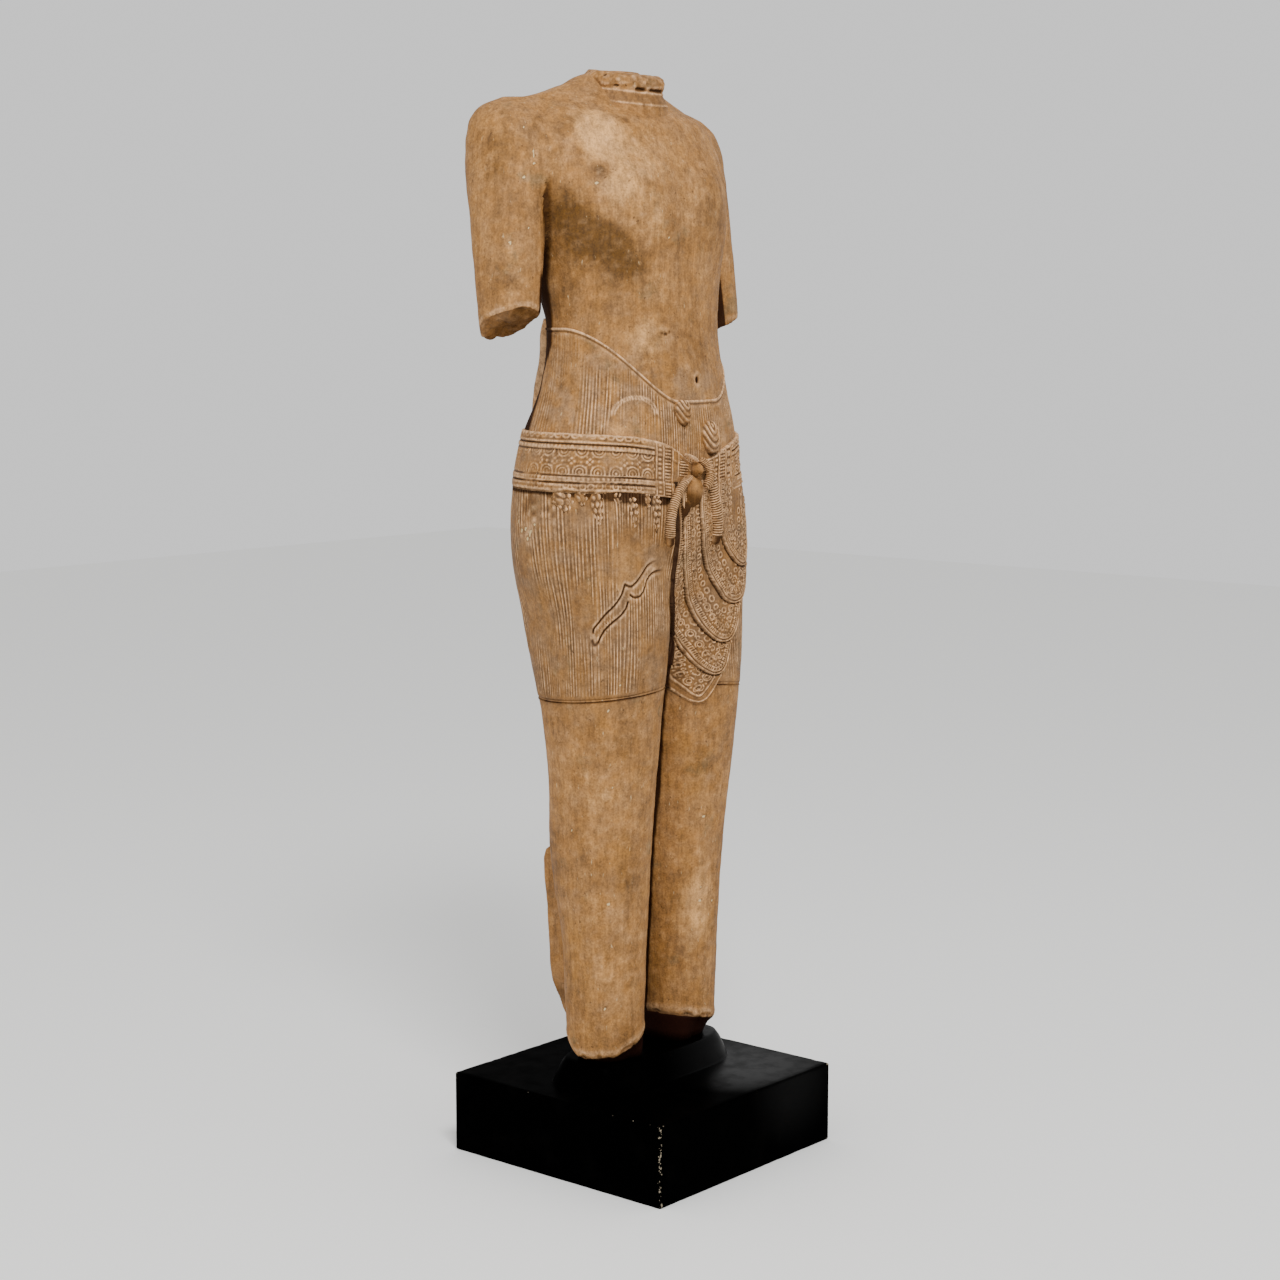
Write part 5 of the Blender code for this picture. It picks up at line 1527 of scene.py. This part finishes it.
foot = mound_ring(MOUND[0, 1] + 0.001)
inwards = np.linspace(0, 1, 17)[1:, None, None]
level_top = between(block[-1][None, :, :2], foot[None], inwards)
level_top = np.concatenate([level_top, np.full(level_top.shape[:2] + (1,), PLINTH_TOP)], -1)
mound_z = np.linspace(MOUND[0, 0], MOUND[-1, 0], 14)
mound = [np.column_stack([mound_ring(np.interp(z, *MOUND.T)), np.full(columns, z)]) for z in mound_z]
middle = np.array([0.0, seat[1], MOUND[-1, 0]])
lid = [middle + share * (mound[-1] - middle) for share in (0.93, 0.8, 0.6, 0.4, 0.2, 0.05)]
plinth_grid = np.concatenate([block, level_top, np.stack(mound), np.stack(lid)])
x, y, z = np.moveaxis(plinth_grid, -1, 0)
outer = np.maximum(np.abs(x), np.abs(y))
low_edge = (1 - ease(z / 0.006)) * ease((outer - PLINTH_HALF + 0.004) / 0.002)
high_edge = ease((z - PLINTH_TOP + 0.003) / 0.002) * ease((outer - PLINTH_HALF + 0.003) / 0.002)
corner = ease((np.abs(x) + np.abs(y) - 2 * PLINTH_HALF + 0.005) / 0.003)
front_corner = corner * (x + y < -PLINTH_HALF)
chips = np.clip(0.78 * low_edge + 0.72 * corner + 0.28 * front_corner + 0.66 * high_edge, 0, 1)
worn = patches(plinth_grid, 0.008, 90, 0.6, 0.06)
relief = -0.0006 * np.maximum(low_edge, high_edge) * (1 - corner) * worn
on_block = (z > 0.0005) & (z < PLINTH_TOP + 0.0002)
plinth = skin("black_plinth", raised(plinth_grid, np.where(on_block, relief, 0.0)))
store(plinth, chip=chips)
print("plinth", len(plinth.data.polygons), "faces")

# %% [markdown]
# ## Finishes
# The plaster has been stained brown and rubbed: raised places are lighter where the stain wore off, hollows
# keep it, and painted shade takes slits, creases and undersides almost to black, with broader painted shading
# in the clouds and a painted highlight on a few thin rolls. The material reads these from the vertices and
# breaks them up with noise at sizes taken in millimetres. The plinth is black lacquer over wood. Its shine is
# kept to one set place near the mound's foot, a painted sheen, and it has a little dust and pale ground where
# its edges are knocked.

# %% Nodes and colours
def linear(code):
    """An sRGB hex colour as linear light. Formula: the sRGB curve, channel by channel."""
    parts = [int(code[i:i + 2], 16) / 255 for i in (0, 2, 4)]
    return tuple(c / 12.92 if c <= 0.04045 else ((c + 0.055) / 1.055) ** 2.4 for c in parts) + (1.0,)


def start_material(name):
    """A new material. The helpers below add their nodes to the tree of the one begun last."""
    made = bpy.data.materials.new(name)
    made.use_nodes = True
    return made, made.node_tree, made.node_tree.nodes["Principled BSDF"]


def fill(socket, value):
    """Gives a socket a value or another node's output."""
    if isinstance(value, bpy.types.NodeSocket):
        tree.links.new(value, socket)
    else:
        socket.default_value = value


def node(kind, settings=None, numbered=(), **named):
    """Adds a node with its settings. Its inputs are given by name, or in a numbered row."""
    made = tree.nodes.new(kind)
    for key, value in (settings or {}).items():
        setattr(made, key, value)
    for i, value in numbered:
        fill(made.inputs[i], value)
    for key, value in named.items():
        fill(made.inputs[key.replace("_", " ")], value)
    return made


def maths(operation, a, b):
    """Two values, or nodes' outputs, combined by one operation."""
    return node("ShaderNodeMath", {"operation": operation}, enumerate((a, b))).outputs[0]


def times(a, b):
    return maths("MULTIPLY", a, b)


def plus(a, b):
    return maths("ADD", a, b)


def less(a, b):
    return maths("SUBTRACT", a, b)


def mixed(share, low, high, blend="MIX"):
    """Two colours mixed by a share. A mix node holds the share at 0 and its colours at 6 and 7."""
    inputs = [(0, share), (6, low), (7, high)]
    return node("ShaderNodeMix", {"data_type": "RGBA", "blend_type": blend}, inputs).outputs[2]


def tinted(colour, *layers):
    """Layers of an sRGB colour over another, each with its share."""
    for share, code in layers:
        colour = mixed(share, colour, linear(code))
    return colour


def ramped(value, low, high, to_low=0.0, to_high=1.0):
    """A value eased from one range to another."""
    inputs = enumerate((value, low, high, to_low, to_high))
    return node("ShaderNodeMapRange", {"interpolation_type": "SMOOTHSTEP"}, inputs).outputs[0]


def read(key):
    """A number stored on the vertices."""
    return node("ShaderNodeAttribute", {"attribute_name": key}).outputs["Fac"]


def grain(size_mm, detail=4.0, roughness=0.55, stretch=None):
    """Noise whose cells are a given size in millimetres, stretched along one axis if asked."""
    where = place
    if stretch:
        where = node("ShaderNodeMapping", Vector=place, Scale=stretch).outputs[0]
    scale = 1000.0 / size_mm
    made = node("ShaderNodeTexNoise", Vector=where, Scale=scale, Detail=detail, Roughness=roughness)
    return made.outputs["Fac"]


def bumpy(strength, distance, height):
    """A normal tilted by a height's slope."""
    return node("ShaderNodeBump", Strength=strength, Distance=distance, Height=height).outputs[0]


def finish(colour, roughness, shine, plain_shine, normal):
    """Fills the shader. The plain number under the linked shine serves where only numbers are read."""
    shader.inputs["IOR"].default_value = 1.5
    shader.inputs["Specular IOR Level"].default_value = plain_shine
    fill(shader.inputs["Base Color"], colour)
    fill(shader.inputs["Roughness"], roughness)
    fill(shader.inputs["Specular IOR Level"], shine)
    fill(shader.inputs["Normal"], normal)


# %% Stained plaster
# Gypsum cast in a mould, stained brown with thin washes and waxed a little: matt, warm, lighter where rubbed
plaster_material, tree, shader = start_material("stained_plaster")
place = node("ShaderNodeTexCoord").outputs["Object"]
height_now = node("ShaderNodeSeparateXYZ", Vector=place).outputs["Z"]
deep = read("deep")

# Thin washes, broad ones and blotches, and clouds of stain and painted shading at the places named above
wash, blotch, streak = grain(70, 4, 0.6), grain(16, 4, 0.62), grain(5.0, 3, 0.6, (1.0, 1.0, 0.12))
mottle, speckle = grain(7.0, 4, 0.65), grain(2.2, 3, 0.65)
stain_and_shading = plus(read("cloud"), less(blotch, 0.5))
light = plus(wash, times(less(blotch, 0.5), 0.8))
colour = tinted(
    linear("63421C"),
    (ramped(light, 0.1, 0.55), "916432"),
    (ramped(light, 0.45, 1.0), "BE8C54"),
    (ramped(stain_and_shading, 0.2, 1.0, 0.0, 0.78), "D4A064"),
)

# The cloth is rosier and its thighs are darker, and the legs below it are ochre in upright patches
on_cloth = times(ramped(height_now, 0.52, 0.56), ramped(height_now, 0.96, 0.86))
on_thigh = times(ramped(height_now, 0.52, 0.55), ramped(height_now, 0.775, 0.745))
below = ramped(height_now, 0.54, 0.5, 0.25, 0.55)
colour = tinted(
    colour,
    (times(ramped(grain(24, 3, 0.55), 0.38, 0.66), ramped(on_cloth, 0, 1, 0.25, 0.75)), "8A6A4A"),
    (times(on_thigh, 0.36), "5C4226"),
    (times(ramped(grain(30, 3, 0.5, (1.0, 1.0, 0.35)), 0.5, 0.68), below), "94652A"),
    (ramped(grain(38, 4, 0.6), 0.6, 0.74, 0.0, 0.55), "6C5A3C"),
    (ramped(stain_and_shading, -0.12, -1.55, 0.0, 0.93), "523404"),
)

# Ridges are rubbed pale and a few thin rolls carry a painted highlight, hollows keep the stain and one band
# on the neck a painted shade, and fine grain breaks up the whole
colour = tinted(
    colour,
    (times(read("ridge"), ramped(mottle, 0.3, 0.62, 0.3, 0.95)), "CFA478"),
    (times(read("hollow"), 0.7), "3E260F"),
)
tone = plus(plus(times(mottle, 0.6), times(speckle, 1.0)), times(streak, 0.8))
colour = mixed(1.0, colour, ramped(tone, 0.76, 1.64, 0.55, 1.45), "MULTIPLY")
colour = tinted(
    colour,
    (ramped(grain(4.5, 2, 0.5), 0.69, 0.75, 0.0, 0.65), "3A2410"),
    (times(ramped(grain(3.6, 3, 0.6, (1.0, 1.0, 0.3)), 0.66, 0.76), 0.6), "CDAE80"),
    # Painted shade: slits, creases and undersides go almost to black
    (deep, "22100A"),
    (ramped(read("chip"), 0.35, 0.75), "CDB182"),
)
fine = plus(times(grain(1.6, 3, 0.6), 0.5), grain(5.0, 3, 0.6, (1.0, 1.0, 0.5)))
finish(colour, ramped(grain(14, 3, 0.5), 0.3, 0.7, 0.66, 0.84),
       ramped(deep, 0.1, 0.7, 0.3, 0.02), 0.25, bumpy(0.55, 0.0009, fine))
print("plaster nodes", len(tree.nodes))

# %% Black lacquer
# Wood sprayed with black lacquer: nearly black, with a thin veil of dust that dulls it in patches. Its shine
# is a painted sheen: kept to one set place at the mound's foot, and hardly any elsewhere
SHINE_PLACE = (0.085, -0.075, 0.091)
lacquer_material, tree, shader = start_material("black_lacquer")
place = node("ShaderNodeTexCoord").outputs["Object"]
chip = read("chip")
dust = ramped(grain(40, 5, 0.6), 0.48, 0.75)
knocked = plus(grain(3.2, 3, 0.6), times(less(chip, 1.0), 0.4))
colour = mixed(times(dust, 0.3), linear("010101"), linear("0A0908"))
colour = tinted(colour, (ramped(knocked, 0.565, 0.6), "8C8270"))
gloss = ramped(grain(22, 4, 0.6), 0.35, 0.75, 0.3, 0.44)
away = node("ShaderNodeVectorMath", {"operation": "DISTANCE"}, [(0, place), (1, SHINE_PLACE)])
finish(colour, plus(gloss, times(chip, 0.4)),
       ramped(away.outputs["Value"], 0.12, 0.03, 0.001, 0.04), 0.01, bumpy(0.08, 0.0005, grain(9, 2, 0.5)))
print("lacquer nodes", len(tree.nodes))

# %% Every piece gets its finish and its body
for thing in PLASTER_PIECES:
    thing.data.materials.append(plaster_material)
    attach(thing, "root")
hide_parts("torso")
plinth.data.materials.append(lacquer_material)
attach(plinth, "root")
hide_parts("plinth")
print("plaster pieces", len(PLASTER_PIECES), "triangles",
      sum(len(p.vertices) - 2 for thing in PLASTER_PIECES for p in thing.data.polygons))

# %% [markdown]
# ## Floor and light
# The photograph is cut out on white, lit softly from the camera's side and above. A pale floor, a bright even
# sky, one soft lamp above the camera's side and a faint one further round give the same gentle shade.

# %% Floor, sky and lamps
floor_material, tree, shader = start_material("pale_floor")
shader.inputs["Base Color"].default_value = linear("F4F4F2")
shader.inputs["Roughness"].default_value = 0.9
FLOOR_HALF = 6.0
floor_mesh = bpy.data.meshes.new("floor")
floor_corners = [(x * FLOOR_HALF, y * FLOOR_HALF, 0) for x, y in ((-1, -1), (1, -1), (1, 1), (-1, 1))]
floor_mesh.from_pydata(floor_corners, [], [(0, 1, 2, 3)])
floor = bpy.data.objects.new("floor", floor_mesh)
floor.data.materials.append(floor_material)
bpy.context.scene.collection.objects.link(floor)

world = bpy.data.worlds.new("sky")
world.use_nodes = True
sky = world.node_tree.nodes["Background"].inputs
sky["Color"].default_value = (1.0, 1.0, 1.0, 1.0)
sky["Strength"].default_value = 0.92
bpy.context.scene.world = world
print("sky strength", round(sky["Strength"].default_value, 2))


def lamp(name, place, target, size, power):
    """A square area lamp that looks at a target."""
    data = bpy.data.lights.new(name, "AREA")
    data.shape = "SQUARE"
    data.size = size
    data.energy = power
    thing = bpy.data.objects.new(name, data)
    thing.location = place
    thing.rotation_euler = (Vector(target) - Vector(place)).to_track_quat("-Z", "Y").to_euler()
    bpy.context.scene.collection.objects.link(thing)
    return thing


CHEST = (0.0, 0.0, 0.75)
lamp("key", (-1.35, -1.65, 3.0), CHEST, 0.8, 88)
lamp("fill", (-2.8, 0.6, 1.6), CHEST, 1.6, 8)
